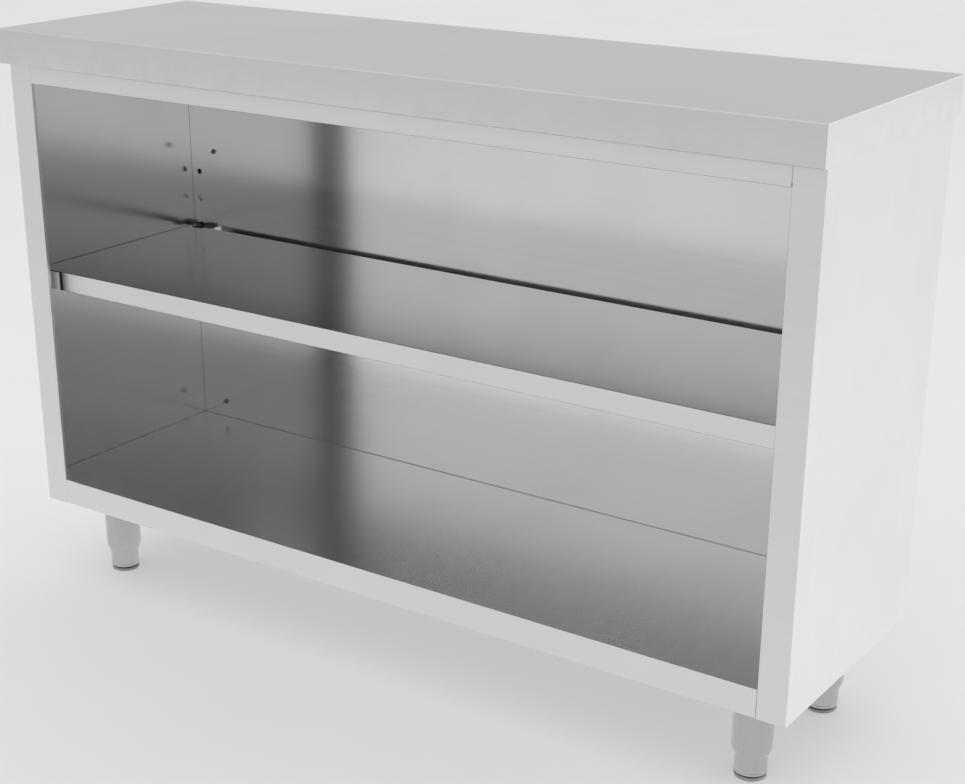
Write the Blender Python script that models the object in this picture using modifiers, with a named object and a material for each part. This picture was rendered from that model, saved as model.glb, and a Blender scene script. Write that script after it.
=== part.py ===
"""Open stainless steel cabinet with one middle shelf, on four adjustable feet.

All lengths are in metres. +Z is up and the open front faces -Y. The origin lies on the floor, below the
middle of the worktop. Every sheet is modelled by its outer face and then given its thickness.
"""

from math import cos, pi, sin

import bmesh
import bpy
from mathutils import Matrix, Vector

# Whole cabinet
cabinet_width = 1.300
cabinet_depth = 0.400
cabinet_height = 0.870
floor_clearance = 0.130
side_overhang = 0.0035
front_overhang = 0.016
rear_overhang = 0.012

# Sheets, folds and gaps
worktop_sheet = 0.0012
body_sheet = 0.0010
stiffener_sheet = 0.0012
fold_inner_radius = 0.0008
fold_steps = 3
seam_gap = 0.0003
slip_gap = 0.0010
corner_relief = 0.0030
overrun = 0.0040
merge_distance = 0.00001

# Worktop with its core board
worktop_edge_height = 0.050
worktop_return_share = 0.6
board_thickness = 0.018
board_margin = 0.0010

# Hat sections under worktop, deck and shelf
hat_height = 0.024
hat_crown = 0.040
hat_flange = 0.015
worktop_hat_spread = 0.110
worktop_hat_end_inset = 0.040
deck_hat_end_gap = 0.010
shelf_hat_end_inset = 0.050

# Side panels with their posts
post_width = 0.0415
post_return = 0.006
rear_flange_width = 0.060

# Header rail and rear rail
header_drop = 0.0275
header_lower_flange = 0.020
header_upper_flange = 0.040
rear_rail_depth = 0.035
rear_rail_height = 0.030

# Bottom deck and back panel
deck_edge_height = 0.040
deck_return = 0.015
deck_flange_height = 0.030
back_flange = 0.014

# Hole columns and the uprights behind the posts
hole_diameter = 0.009
hole_pitch = 0.045
hole_count = 6
hole_top_drop = 0.274
hole_sides = 12
rear_column_inset = 0.0175
upright_width = 0.0155
upright_depth = 0.0204

# Middle shelf
shelf_hole_index = 3
shelf_rise = 0.0445
shelf_lip_height = 0.0295
shelf_return = 0.010
shelf_rear_gap = 0.0115
shelf_slit = 0.0065
shelf_notch_width = 0.022
shelf_notch_depth = 0.009
shelf_notch_inset = 0.0235

# Shelf supports and their bolts
support_width = 0.0412
front_lug_width = 0.0152
rear_lug_width = 0.0270
lug_below_bolt = 0.009
bolt_radius = 0.004
bolt_head_radius = 0.007
bolt_head_height = 0.0045
bolt_nut_height = 0.0050
bolt_tip = 0.0015
bolt_sides = 16
hex_sides = 6

# Rivets of the back panel
rivet_edge_distance = 0.0085
rivet_above_deck = 0.028
rivet_pitch = 0.2175
rivet_rows = 3
rivet_radius = 0.0020
rivet_head_radius = 0.0042
rivet_head_height = 0.0014
rivet_tail_radius = 0.0034
rivet_tail_height = 0.0020
rivet_steps = 10
dome_steps = 3

# Screws of the worktop
screw_spread = 0.800
screw_flange_share = 0.7
screw_radius = 0.0020
screw_head_radius = 0.0045
screw_head_height = 0.0025
screw_bite = 0.013

# Legs
leg_side_inset = 0.0795
leg_front_inset = 0.0795
leg_rear_inset = 0.073
leg_plate_side = 0.090
leg_plate_thickness = 0.003
leg_plate_corner_radius = 0.008
leg_boss_wall = 0.003
leg_boss_height = 0.014
sleeve_radius = 0.0275
sleeve_wall = 0.0015
shoulder_height = 0.013
shoulder_steps = 4
throat_wall = 0.0008
throat_height = 0.0015
insert_height = 0.020
turned_steps = 24

# Adjustable feet
foot_radius = 0.0225
foot_running_gap = 0.0004
foot_wall = 0.002
foot_floor_thickness = 0.008
foot_edge_radius = 0.004
foot_edge_steps = 3
foot_visible_height = 0.033
foot_drop_travel = 0.035
foot_rise_travel = 0.020
foot_hold = 0.010
stem_radius = 0.008
stem_hold = 0.009
stem_chamfer = 0.001
pad_radius = 0.0215
pad_height = 0.0040
pad_edge = 0.0008
pad_neck_radius = 0.0185
pad_neck_height = 0.0015
pad_plug_radius = 0.0080
pad_plug_height = 0.0055

# Places that follow from the sizes
worktop_fold_radius = worktop_sheet + fold_inner_radius
body_fold_radius = body_sheet + fold_inner_radius
stiffener_fold_radius = stiffener_sheet + fold_inner_radius
worktop_half_width = cabinet_width / 2
worktop_front_y = -cabinet_depth / 2
worktop_rear_y = cabinet_depth / 2
worktop_edge_z = cabinet_height - worktop_edge_height
board_top_z = cabinet_height - worktop_sheet - seam_gap
board_bottom_z = board_top_z - board_thickness
body_top_z = board_bottom_z - seam_gap
body_half_width = worktop_half_width - side_overhang
body_front_y = worktop_front_y + front_overhang
body_rear_y = worktop_rear_y - rear_overhang
inner_half_width = body_half_width - body_sheet - seam_gap
opening_half_width = body_half_width - post_width
rail_half_length = opening_half_width - seam_gap
back_outer_y = body_rear_y - body_sheet - seam_gap
back_inner_y = back_outer_y - body_sheet
inner_rear_y = back_inner_y - seam_gap
header_bottom_z = worktop_edge_z - header_drop
deck_top_z = floor_clearance + deck_edge_height
deck_under_z = deck_top_z - body_sheet
upright_front_y = body_front_y + body_sheet + seam_gap
upright_rear_y = upright_front_y + upright_depth
upright_inner_x = inner_half_width - upright_width
hole_top_z = cabinet_height - hole_top_drop
rear_column_x = body_half_width - rear_column_inset
front_column_x = inner_half_width - front_lug_width / 2
rivet_x = body_half_width - rear_flange_width + rivet_edge_distance
shelf_bolt_z = hole_top_z - shelf_hole_index * hole_pitch
shelf_top_z = shelf_bolt_z + shelf_rise
shelf_bottom_z = shelf_top_z - shelf_lip_height
shelf_front_y = upright_rear_y + seam_gap
shelf_rear_y = back_inner_y - shelf_rear_gap
shelf_half_width = inner_half_width - slip_gap
support_top_z = shelf_top_z - body_sheet - seam_gap
support_inner_x = inner_half_width - support_width
lip_half_length = support_inner_x - shelf_slit
leg_x = body_half_width - leg_side_inset
leg_front_y = body_front_y + leg_front_inset
leg_rear_y = body_rear_y - leg_rear_inset
leg_plate_top_z = deck_under_z - seam_gap
leg_plate_bottom_z = leg_plate_top_z - leg_plate_thickness
sleeve_top_z = leg_plate_bottom_z - seam_gap
sleeve_bore = sleeve_radius - sleeve_wall
leg_plug_radius = sleeve_bore - seam_gap
throat_bore = foot_radius + foot_running_gap
foot_top_z = foot_visible_height + foot_drop_travel + foot_hold
insert_bottom_z = foot_top_z + foot_rise_travel + foot_wall
stem_top_z = insert_bottom_z + foot_drop_travel + stem_hold
foot_bottom_z = pad_height + pad_neck_height + seam_gap
foot_recess_z = foot_bottom_z + pad_plug_height + seam_gap


def clear_scene():
    """Remove what the scene holds, so that the cabinet stands alone."""
    for thing in list(bpy.data.objects):
        bpy.data.objects.remove(thing, do_unlink=True)


def new_collection(name):
    """A collection linked to the scene."""
    group = bpy.data.collections.new(name)
    bpy.context.scene.collection.children.link(group)
    return group


def finish(name, colour, metallic, roughness):
    """A Principled material with one colour."""
    material = bpy.data.materials.new(name)
    material.use_nodes = True
    shader = material.node_tree.nodes["Principled BSDF"]
    shader.inputs["Base Color"].default_value = (*colour, 1.0)
    shader.inputs["Metallic"].default_value = metallic
    shader.inputs["Roughness"].default_value = roughness
    return material


clear_scene()
cabinet_parts = new_collection("open_cabinet")
cutter_parts = new_collection("cutters")

worktop_steel = finish("worktop_steel", (0.50, 0.50, 0.49), 1.0, 0.38)
body_steel = finish("body_steel", (0.58, 0.58, 0.57), 1.0, 0.34)
inner_steel = finish("inner_steel", (0.42, 0.42, 0.41), 1.0, 0.30)
leg_steel = finish("leg_steel", (0.46, 0.44, 0.42), 1.0, 0.36)
galvanised_steel = finish("galvanised_steel", (0.40, 0.41, 0.42), 1.0, 0.50)
core_board = finish("core_board", (0.36, 0.26, 0.16), 0.0, 0.80)
fixing_steel = finish("fixing_steel", (0.33, 0.33, 0.34), 1.0, 0.35)
pad_plastic = finish("pad_plastic", (0.16, 0.16, 0.16), 0.0, 0.55)


def add_part(name, mesh, material):
    """Put a mesh into the cabinet as one named sub-part."""
    part = bpy.data.objects.new(name, mesh)
    mesh.materials.append(material)
    cabinet_parts.objects.link(part)
    return part


def mesh_of(shape, name):
    """Turn a bmesh into a mesh and free it."""
    mesh = bpy.data.meshes.new(name)
    shape.to_mesh(mesh)
    shape.free()
    return mesh


def add_tool(name, mesh):
    """Put a mesh among the cutters, out of the render."""
    tool = bpy.data.objects.new(name, mesh)
    tool.hide_render = True
    tool.display_type = "WIRE"
    cutter_parts.objects.link(tool)
    return tool


def box_mesh(name, low, high):
    """A box between two corners."""
    centre = (Vector(low) + Vector(high)) / 2
    span = Vector(high) - Vector(low)
    shape = bmesh.new()
    bmesh.ops.create_cube(shape, size=1.0, matrix=Matrix.Translation(centre) @ Matrix.Diagonal((*span, 1.0)))
    return mesh_of(shape, name)


def rod_mesh(name, places, radius, length, sides):
    """Round rods along Y, each centred on one of the places."""
    shape = bmesh.new()
    turn = Matrix.Rotation(pi / 2, 4, "X")
    for place in places:
        bmesh.ops.create_cone(
            shape,
            cap_ends=True,
            segments=sides,
            radius1=radius,
            radius2=radius,
            depth=length,
            matrix=Matrix.Translation(place) @ turn,
        )
    return mesh_of(shape, name)


def upright_rod_mesh(name, places, radius, length, sides):
    """Round rods along Z, each centred on one of the places."""
    shape = bmesh.new()
    for place in places:
        bmesh.ops.create_cone(
            shape,
            cap_ends=True,
            segments=sides,
            radius1=radius,
            radius2=radius,
            depth=length,
            matrix=Matrix.Translation(place),
        )
    return mesh_of(shape, name)


def combine(part, tool, operation):
    """Cut a part with a tool, or join the tool's solid to it."""
    change = part.modifiers.new(tool.name, "BOOLEAN")
    change.operation = operation
    change.solver = "EXACT"
    change.object = tool


def round_folds(part, radius):
    """Round every fold of a sheet's outer face."""
    folds = part.modifiers.new("folds", "BEVEL")
    folds.width = radius
    folds.segments = fold_steps
    folds.limit_method = "ANGLE"


def thicken(part, sheet, side):
    """Give an open surface its sheet thickness; side -1 puts it behind the surface, 1 before it."""
    wall = part.modifiers.new("sheet", "SOLIDIFY")
    wall.thickness = sheet
    wall.offset = side
    wall.use_even_offset = True
    wall.use_quality_normals = True


def folded_section(name, path, axis, start, stop, sheet, side, material):
    """A sheet folded along parallel lines: an open path swept straight along X or Z."""
    shape = bmesh.new()
    if axis == "X":
        corners = [shape.verts.new((start, u, v)) for u, v in path]
        sweep = Vector((stop - start, 0, 0))
    else:
        corners = [shape.verts.new((u, v, start)) for u, v in path]
        sweep = Vector((0, 0, stop - start))
    runs = [shape.edges.new(pair) for pair in zip(corners, corners[1:])]
    swept = bmesh.ops.extrude_edge_only(shape, edges=runs)["geom"]
    moved = [item for item in swept if isinstance(item, bmesh.types.BMVert)]
    bmesh.ops.translate(shape, verts=moved, vec=sweep)
    part = add_part(name, mesh_of(shape, name), material)
    round_folds(part, sheet + fold_inner_radius)
    thicken(part, sheet, side)
    return part


class Sheet:
    """The outer faces of a sheet, grown edge by edge before they get their thickness."""

    def __init__(self, shape):
        self.shape = shape

    def edge(self, start, end):
        """The edge that ends nearest to two given points."""
        ends = (Vector(start), Vector(end))

        def distance(edge):
            a, b = (vert.co for vert in edge.verts)
            straight = (a - ends[0]).length + (b - ends[1]).length
            crossed = (a - ends[1]).length + (b - ends[0]).length
            return min(straight, crossed)

        return min(self.shape.edges, key=distance)

    def fold(self, start, end, run, taper=0):
        """Extrude one edge by a run and draw its ends in by the taper; returns the new edge's ends."""
        grown = bmesh.ops.extrude_edge_only(self.shape, edges=[self.edge(start, end)])["geom"]
        fresh = [item for item in grown if isinstance(item, bmesh.types.BMVert)]
        bmesh.ops.translate(self.shape, verts=fresh, vec=Vector(run))
        inward = (fresh[1].co - fresh[0].co).normalized() * taper
        fresh[0].co += inward
        fresh[1].co -= inward
        return fresh[0].co.copy(), fresh[1].co.copy()

    def finish(self, name, sheet, material):
        """Round the folds, give the sheet its thickness and add it to the cabinet."""
        bmesh.ops.recalc_face_normals(self.shape, faces=self.shape.faces)
        part = add_part(name, mesh_of(self.shape, name), material)
        round_folds(part, sheet + fold_inner_radius)
        thicken(part, sheet, -1)
        return part


def flat_blank(outline, level):
    """A sheet that starts as one flat face with the given outline."""
    shape = bmesh.new()
    shape.faces.new([shape.verts.new((x, y, level)) for x, y in outline])
    return Sheet(shape)


def upturned_tray(low, high):
    """A sheet that starts as a box between two corners, open below."""
    centre = (Vector(low) + Vector(high)) / 2
    span = Vector(high) - Vector(low)
    shape = bmesh.new()
    bmesh.ops.create_cube(shape, size=1.0, matrix=Matrix.Translation(centre) @ Matrix.Diagonal((*span, 1.0)))
    shape.normal_update()
    underside = min(shape.faces, key=lambda face: face.normal.z)
    bmesh.ops.delete(shape, geom=[underside], context="FACES_ONLY")
    return Sheet(shape)


def turned(name, profile, place, material, steps, turn=None):
    """Turn a profile of (radius, height) points about the local Z axis.

    A profile that starts and ends on the axis stays open there, and any other is closed into a ring.
    """
    shape = bmesh.new()
    points = [shape.verts.new((radius, 0, height)) for radius, height in profile]
    for pair in zip(points, points[1:]):
        shape.edges.new(pair)
    if profile[0][0] > 0:
        shape.edges.new((points[-1], points[0]))
    part = add_part(name, mesh_of(shape, name), material)
    part.location = place
    if turn is not None:
        part.rotation_euler = turn
    spin = part.modifiers.new("turn", "SCREW")
    spin.axis = "Z"
    spin.steps = steps
    spin.render_steps = steps
    spin.use_merge_vertices = True
    spin.merge_threshold = merge_distance
    spin.use_smooth_shade = True
    return part


def hat_section(name, middle_y, top_z, half_length, material):
    """A hat section along X, hanging from its two flanges."""
    half_crown = hat_crown / 2
    half_width = half_crown + hat_flange
    path = [
        (middle_y - half_width, top_z),
        (middle_y - half_crown, top_z),
        (middle_y - half_crown, top_z - hat_height),
        (middle_y + half_crown, top_z - hat_height),
        (middle_y + half_crown, top_z),
        (middle_y + half_width, top_z),
    ]
    return folded_section(name, path, "X", -half_length, half_length, stiffener_sheet, -1, material)


# Worktop
def make_worktop():
    """The folded top with its four edges, the board inside it and two hat sections under the board."""
    low = (-worktop_half_width, worktop_front_y, worktop_edge_z)
    high = (worktop_half_width, worktop_rear_y, cabinet_height)
    top = upturned_tray(low, high)
    returns = (
        (worktop_front_y, front_overhang * worktop_return_share),
        (worktop_rear_y, -rear_overhang * worktop_return_share),
    )
    for edge_y, depth in returns:
        start = (-worktop_half_width, edge_y, worktop_edge_z)
        end = (worktop_half_width, edge_y, worktop_edge_z)
        top.fold(start, end, (0, depth, 0), abs(depth))
    top.finish("worktop_shell", worktop_sheet, worktop_steel)

    half_width = worktop_half_width - worktop_sheet - board_margin
    half_depth = cabinet_depth / 2 - worktop_sheet - board_margin
    low = (-half_width, -half_depth, board_bottom_z)
    high = (half_width, half_depth, board_top_z)
    board = add_part("worktop_board", box_mesh("worktop_board", low, high), core_board)
    drill_worktop(board, screw_radius + seam_gap, 2 * (screw_bite + seam_gap))

    half_length = body_half_width - worktop_hat_end_inset
    for side, name in ((-1, "front"), (1, "rear")):
        middle_y = side * worktop_hat_spread / 2
        hat_section(f"worktop_stiffener_{name}", middle_y, body_top_z, half_length, galvanised_steel)


def screw_places():
    """Where the worktop's screws stand, front pair first, at the top of the rails."""
    front_y = body_front_y + header_upper_flange * screw_flange_share
    rear_y = inner_rear_y - rear_rail_depth * screw_flange_share
    places = []
    for row, y in (("front", front_y), ("rear", rear_y)):
        for side, name in ((-1, "left"), (1, "right")):
            places.append((f"{row}_{name}", side * screw_spread / 2, y))
    return places


def drill_worktop(part, radius, length):
    """Drill the screws' holes through a flange or up into the board."""
    places = [(x, y, board_bottom_z) for _, x, y in screw_places()]
    name = f"{part.name}_screw_holes"
    tool = add_tool(name, upright_rod_mesh(name, places, radius, length, hole_sides))
    combine(part, tool, "DIFFERENCE")


def make_screws():
    """Pan-head screws that hold the worktop down on its two rails."""
    head_top = body_top_z - body_sheet - seam_gap
    tip = board_bottom_z + screw_bite
    profile = [
        (0, tip),
        (screw_radius, tip - screw_radius),
        (screw_radius, head_top),
        (screw_head_radius, head_top),
        (screw_head_radius, head_top - screw_head_height / 2),
        (screw_head_radius - screw_head_height / 2, head_top - screw_head_height),
        (0, head_top - screw_head_height),
    ]
    for name, x, y in screw_places():
        turned(f"worktop_screw_{name}", profile, (x, y, 0), fixing_steel, rivet_steps)


# Body
def make_side_panels():
    """Each side is one sheet: post return, post, wall and rear flange."""
    for side, name in ((-1, "left"), (1, "right")):
        path = [
            (side * opening_half_width, body_front_y + post_return),
            (side * opening_half_width, body_front_y),
            (side * body_half_width, body_front_y),
            (side * body_half_width, body_rear_y),
            (side * (body_half_width - rear_flange_width), body_rear_y),
        ]
        panel = folded_section(
            f"side_panel_{name}", path, "Z", floor_clearance, body_top_z, body_sheet, side, body_steel
        )
        drill_columns(panel, body_rear_y, rear_column_x)
        drill_rivet_holes(panel, side)


def hole_levels():
    """Heights of the holes in a column, from the top one down."""
    return [hole_top_z - index * hole_pitch for index in range(hole_count)]


def drill_columns(part, wall_y, column_x):
    """Drill the two columns of round holes through a wall that faces front or rear."""
    places = [(side * column_x, wall_y, z) for side in (-1, 1) for z in hole_levels()]
    name = f"{part.name}_column_holes"
    tool = add_tool(name, rod_mesh(name, places, hole_diameter / 2, 2 * overrun, hole_sides))
    combine(part, tool, "DIFFERENCE")


def rivet_places():
    """Where the rivets of the back panel sit, as (name, x, z)."""
    places = []
    for side, name in ((-1, "left"), (1, "right")):
        for row in range(rivet_rows):
            x = side * rivet_x
            places.append((f"{name}_{row + 1}", x, deck_top_z + rivet_above_deck + row * rivet_pitch))
    return places


def drill_rivet_holes(part, side):
    """Drill the rivets' holes through the rear wall of a panel, on one side or on both."""
    places = [(x, body_rear_y, z) for _, x, z in rivet_places() if side == 0 or x * side > 0]
    name = f"{part.name}_rivet_holes"
    tool = add_tool(name, rod_mesh(name, places, rivet_radius + seam_gap, 2 * overrun, rivet_steps))
    combine(part, tool, "DIFFERENCE")


def make_back_panel():
    """A plain sheet in front of the side panels' rear flanges, with a flange along its foot."""
    path = [
        (back_outer_y, body_top_z),
        (back_outer_y, floor_clearance),
        (back_outer_y - back_flange, floor_clearance),
    ]
    panel = folded_section(
        "back_panel", path, "X", -inner_half_width, inner_half_width, body_sheet, -1, inner_steel
    )
    drill_columns(panel, back_outer_y, rear_column_x)
    drill_rivet_holes(panel, 0)


def make_rivets():
    """Blind rivets with a domed head inside the cabinet and a rounded tail behind it."""
    head_base = body_rear_y - back_inner_y + seam_gap
    tail_base = -seam_gap
    profile = [(0, head_base + rivet_head_height)]
    for step in range(1, dome_steps + 1):
        angle = pi / 2 * step / dome_steps
        profile.append((rivet_head_radius * sin(angle), head_base + rivet_head_height * cos(angle)))
    profile.append((rivet_radius, head_base))
    profile.append((rivet_radius, tail_base))
    for step in range(dome_steps):
        angle = pi / 2 * step / dome_steps
        profile.append((rivet_tail_radius * cos(angle), tail_base - rivet_tail_height * sin(angle)))
    profile.append((0, tail_base - rivet_tail_height))
    for name, x, z in rivet_places():
        place = (x, body_rear_y, z)
        turned(f"back_rivet_{name}", profile, place, fixing_steel, rivet_steps, (pi / 2, 0, 0))


def make_rails():
    """The header rail between the posts and the angle along the top of the back panel."""
    header_path = [
        (body_front_y + header_lower_flange, header_bottom_z),
        (body_front_y, header_bottom_z),
        (body_front_y, body_top_z),
        (body_front_y + header_upper_flange, body_top_z),
    ]
    header = folded_section(
        "header_rail", header_path, "X", -rail_half_length, rail_half_length, body_sheet, -1, body_steel
    )
    rear_path = [
        (inner_rear_y - rear_rail_depth, body_top_z),
        (inner_rear_y, body_top_z),
        (inner_rear_y, body_top_z - rear_rail_height),
    ]
    rear = folded_section(
        "rear_rail", rear_path, "X", -inner_half_width, inner_half_width, body_sheet, -1, inner_steel
    )
    for rail in (header, rear):
        drill_worktop(rail, screw_radius + seam_gap, 2 * overrun)


def make_uprights():
    """Channels in the corners behind the posts, which carry the front ends of the shelf supports."""
    for side, name in ((-1, "left"), (1, "right")):
        path = [
            (side * inner_half_width, upright_front_y),
            (side * upright_inner_x, upright_front_y),
            (side * upright_inner_x, upright_rear_y),
            (side * inner_half_width, upright_rear_y),
        ]
        upright = folded_section(
            f"upright_channel_{name}",
            path,
            "Z",
            deck_top_z + seam_gap,
            body_top_z,
            body_sheet,
            -side,
            galvanised_steel,
        )
        drill_columns(upright, upright_rear_y, front_column_x)


def make_deck():
    """The bottom deck: a tray with a deep front edge that stands between the posts."""
    front_y = body_front_y
    notch_y = body_front_y + post_return + seam_gap
    half = inner_half_width
    inset = corner_relief
    outline = [
        (-rail_half_length, front_y),
        (rail_half_length, front_y),
        (rail_half_length, notch_y),
        (half - inset, notch_y),
        (half - inset, notch_y + inset),
        (half, notch_y + inset),
        (half, inner_rear_y - inset),
        (half - inset, inner_rear_y - inset),
        (half - inset, inner_rear_y),
        (-half + inset, inner_rear_y),
        (-half + inset, inner_rear_y - inset),
        (-half, inner_rear_y - inset),
        (-half, notch_y + inset),
        (-half + inset, notch_y + inset),
        (-half + inset, notch_y),
        (-rail_half_length, notch_y),
    ]
    z = deck_top_z
    deck = flat_blank(outline, z)
    front = deck.fold((-rail_half_length, front_y, z), (rail_half_length, front_y, z), (0, 0, -deck_edge_height))
    deck.fold(*front, (0, deck_return, 0), deck_return)
    rear_ends = ((-half + inset, inner_rear_y, z), (half - inset, inner_rear_y, z))
    deck.fold(*rear_ends, (0, 0, -deck_flange_height))
    for side in (-1, 1):
        ends = ((side * half, notch_y + inset, z), (side * half, inner_rear_y - inset, z))
        deck.fold(*ends, (0, 0, -deck_flange_height))
    deck.finish("bottom_deck", body_sheet, inner_steel)
    half_length = leg_x - leg_plate_side / 2 - deck_hat_end_gap
    hat_section("deck_stiffener", 0, deck_under_z - seam_gap, half_length, galvanised_steel)


# Shelf
def make_shelf():
    """The shelf: a plate that spans wall to wall, with lips that stop short of the supports."""
    half = shelf_half_width
    lip = lip_half_length
    step_y = shelf_front_y + body_fold_radius
    rear_step_y = shelf_rear_y - body_fold_radius
    outline = [
        (-lip, shelf_front_y),
        (lip, shelf_front_y),
        (lip, step_y),
        (half, step_y),
        (half, rear_step_y),
        (lip, rear_step_y),
        (lip, shelf_rear_y),
        (-lip, shelf_rear_y),
        (-lip, rear_step_y),
        (-half, rear_step_y),
        (-half, step_y),
        (-lip, step_y),
    ]
    z = shelf_top_z
    shelf = flat_blank(outline, z)
    for edge_y, inward in ((shelf_front_y, 1), (shelf_rear_y, -1)):
        lower = shelf.fold((-lip, edge_y, z), (lip, edge_y, z), (0, 0, -shelf_lip_height))
        shelf.fold(*lower, (0, inward * shelf_return, 0), shelf_return)
    part = shelf.finish("shelf", body_sheet, inner_steel)
    for side, name in ((-1, "left"), (1, "right")):
        middle_x = side * (body_half_width - shelf_notch_inset)
        low = (middle_x - shelf_notch_width / 2, rear_step_y - shelf_notch_depth, z - overrun)
        high = (middle_x + shelf_notch_width / 2, shelf_rear_y + overrun, z + overrun)
        tool = add_tool(f"shelf_notch_{name}", box_mesh(f"shelf_notch_{name}", low, high))
        combine(part, tool, "DIFFERENCE")
    half_length = lip_half_length - shelf_hat_end_inset
    middle_y = (shelf_front_y + shelf_rear_y) / 2
    hat_section("shelf_stiffener", middle_y, z - body_sheet - seam_gap, half_length, galvanised_steel)


def make_shelf_supports():
    """Folded ledges under the shelf's ends, with lugs that are bolted into the hole columns."""
    top = support_top_z
    rise = top - shelf_bottom_z
    lug_bottom = shelf_bolt_z - lug_below_bolt
    inset = corner_relief
    for side, name in ((-1, "left"), (1, "right")):
        wall_x = side * inner_half_width
        edge_x = side * support_inner_x
        inner_wall_x = side * (inner_half_width - inset)
        outline = [
            (edge_x, shelf_front_y),
            (inner_wall_x, shelf_front_y),
            (inner_wall_x, shelf_front_y + inset),
            (wall_x, shelf_front_y + inset),
            (wall_x, inner_rear_y - inset),
            (inner_wall_x, inner_rear_y - inset),
            (inner_wall_x, inner_rear_y),
            (edge_x, inner_rear_y),
        ]
        ledge = flat_blank(outline, top)
        for edge_y in (shelf_front_y, inner_rear_y):
            ledge.fold((edge_x, edge_y, top), (inner_wall_x, edge_y, top), (0, 0, lug_bottom - top))
        ends = ((wall_x, shelf_front_y + inset, top), (wall_x, inner_rear_y - inset, top))
        ledge.fold(*ends, (0, 0, -rise))
        support = ledge.finish(f"shelf_support_{name}", body_sheet, inner_steel)
        for end_y, width, row in (
            (shelf_front_y, front_lug_width, "front"),
            (inner_rear_y, rear_lug_width, "rear"),
        ):
            near = side * (inner_half_width - width)
            far = side * (support_inner_x - overrun)
            low = (min(near, far), end_y - overrun, lug_bottom - overrun)
            high = (max(near, far), end_y + overrun, shelf_bottom_z)
            tool_name = f"lug_cut_{row}_{name}"
            combine(support, add_tool(tool_name, box_mesh(tool_name, low, high)), "DIFFERENCE")
        places = [
            (side * front_column_x, shelf_front_y, shelf_bolt_z),
            (side * rear_column_x, inner_rear_y, shelf_bolt_z),
        ]
        tool_name = f"lug_holes_{name}"
        holes = add_tool(tool_name, rod_mesh(tool_name, places, hole_diameter / 2, 2 * overrun, hole_sides))
        combine(support, holes, "DIFFERENCE")


def make_bolt(name, x, head_face_y, nut_face_y):
    """A hexagon bolt along Y with its nut, tightened on the walls between the two faces."""
    inward = 1 if head_face_y > nut_face_y else -1
    head_end = head_face_y + inward * bolt_head_height
    nut_end = nut_face_y - inward * bolt_nut_height
    tip = nut_end - inward * bolt_tip
    turn = Matrix.Rotation(pi / 2, 4, "X")
    shape = bmesh.new()
    bmesh.ops.create_cone(
        shape,
        cap_ends=True,
        segments=bolt_sides,
        radius1=bolt_radius,
        radius2=bolt_radius,
        depth=abs(tip - head_face_y) + bolt_head_height / 2,
        matrix=Matrix.Translation((x, (tip + head_face_y + inward * bolt_head_height / 2) / 2, shelf_bolt_z)) @ turn,
    )
    bolt = add_part(name, mesh_of(shape, name), fixing_steel)
    for label, near, far in (("head", head_face_y, head_end), ("nut", nut_face_y, nut_end)):
        places = [(x, (near + far) / 2, shelf_bolt_z)]
        tool_name = f"{name}_{label}"
        mesh = rod_mesh(tool_name, places, bolt_head_radius, abs(far - near), hex_sides)
        combine(bolt, add_tool(tool_name, mesh), "UNION")


def make_bolts():
    """Four bolts that hold the supports: two in the uprights and two through the back."""
    for side, name in ((-1, "left"), (1, "right")):
        head_face = shelf_front_y + body_sheet + seam_gap
        nut_face = upright_rear_y - body_sheet - seam_gap
        make_bolt(f"shelf_bolt_front_{name}", side * front_column_x, head_face, nut_face)
        head_face = inner_rear_y - body_sheet - seam_gap
        nut_face = body_rear_y + seam_gap
        make_bolt(f"shelf_bolt_rear_{name}", side * rear_column_x, head_face, nut_face)


# Legs
def leg_places():
    """Names and axes of the four legs."""
    places = []
    for row, y in (("front", leg_front_y), ("rear", leg_rear_y)):
        for side, name in ((-1, "left"), (1, "right")):
            places.append((f"{row}_{name}", side * leg_x, y))
    return places


def make_leg_plate(name, x, y):
    """A square plate with rounded corners under the deck, and a ring that centres the sleeve."""
    shape = bmesh.new()
    middle = Vector((0, 0, (leg_plate_top_z + leg_plate_bottom_z) / 2))
    span = (leg_plate_side, leg_plate_side, leg_plate_thickness, 1.0)
    bmesh.ops.create_cube(shape, size=1.0, matrix=Matrix.Translation(middle) @ Matrix.Diagonal(span))
    upright_edges = [edge for edge in shape.edges if edge.verts[0].co.z != edge.verts[1].co.z]
    bmesh.ops.bevel(
        shape,
        geom=upright_edges,
        offset=leg_plate_corner_radius,
        offset_type="OFFSET",
        segments=fold_steps,
        profile=0.5,
        affect="EDGES",
    )
    plate = add_part(f"leg_plate_{name}", mesh_of(shape, f"leg_plate_{name}"), galvanised_steel)
    plate.location = (x, y, 0)
    root_z = leg_plate_bottom_z + leg_plate_thickness / 2
    foot_z = leg_plate_bottom_z - leg_boss_height
    ring = [
        (leg_plug_radius, root_z),
        (leg_plug_radius, foot_z),
        (leg_plug_radius - leg_boss_wall, foot_z),
        (leg_plug_radius - leg_boss_wall, root_z),
    ]
    boss = turned(f"leg_boss_{name}", ring, (x, y, 0), galvanised_steel, turned_steps)
    cabinet_parts.objects.unlink(boss)
    cutter_parts.objects.link(boss)
    boss.hide_render = True
    boss.display_type = "WIRE"
    combine(plate, boss, "UNION")


def shoulder(start_radius, end_radius, top_z, bottom_z):
    """The swaged shoulder, a quarter cosine from upright at the top to slanting at the bottom."""
    points = []
    for step in range(shoulder_steps + 1):
        share = step / shoulder_steps
        radius = end_radius + (start_radius - end_radius) * cos(pi / 2 * share)
        points.append((radius, top_z + (bottom_z - top_z) * share))
    return points


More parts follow.
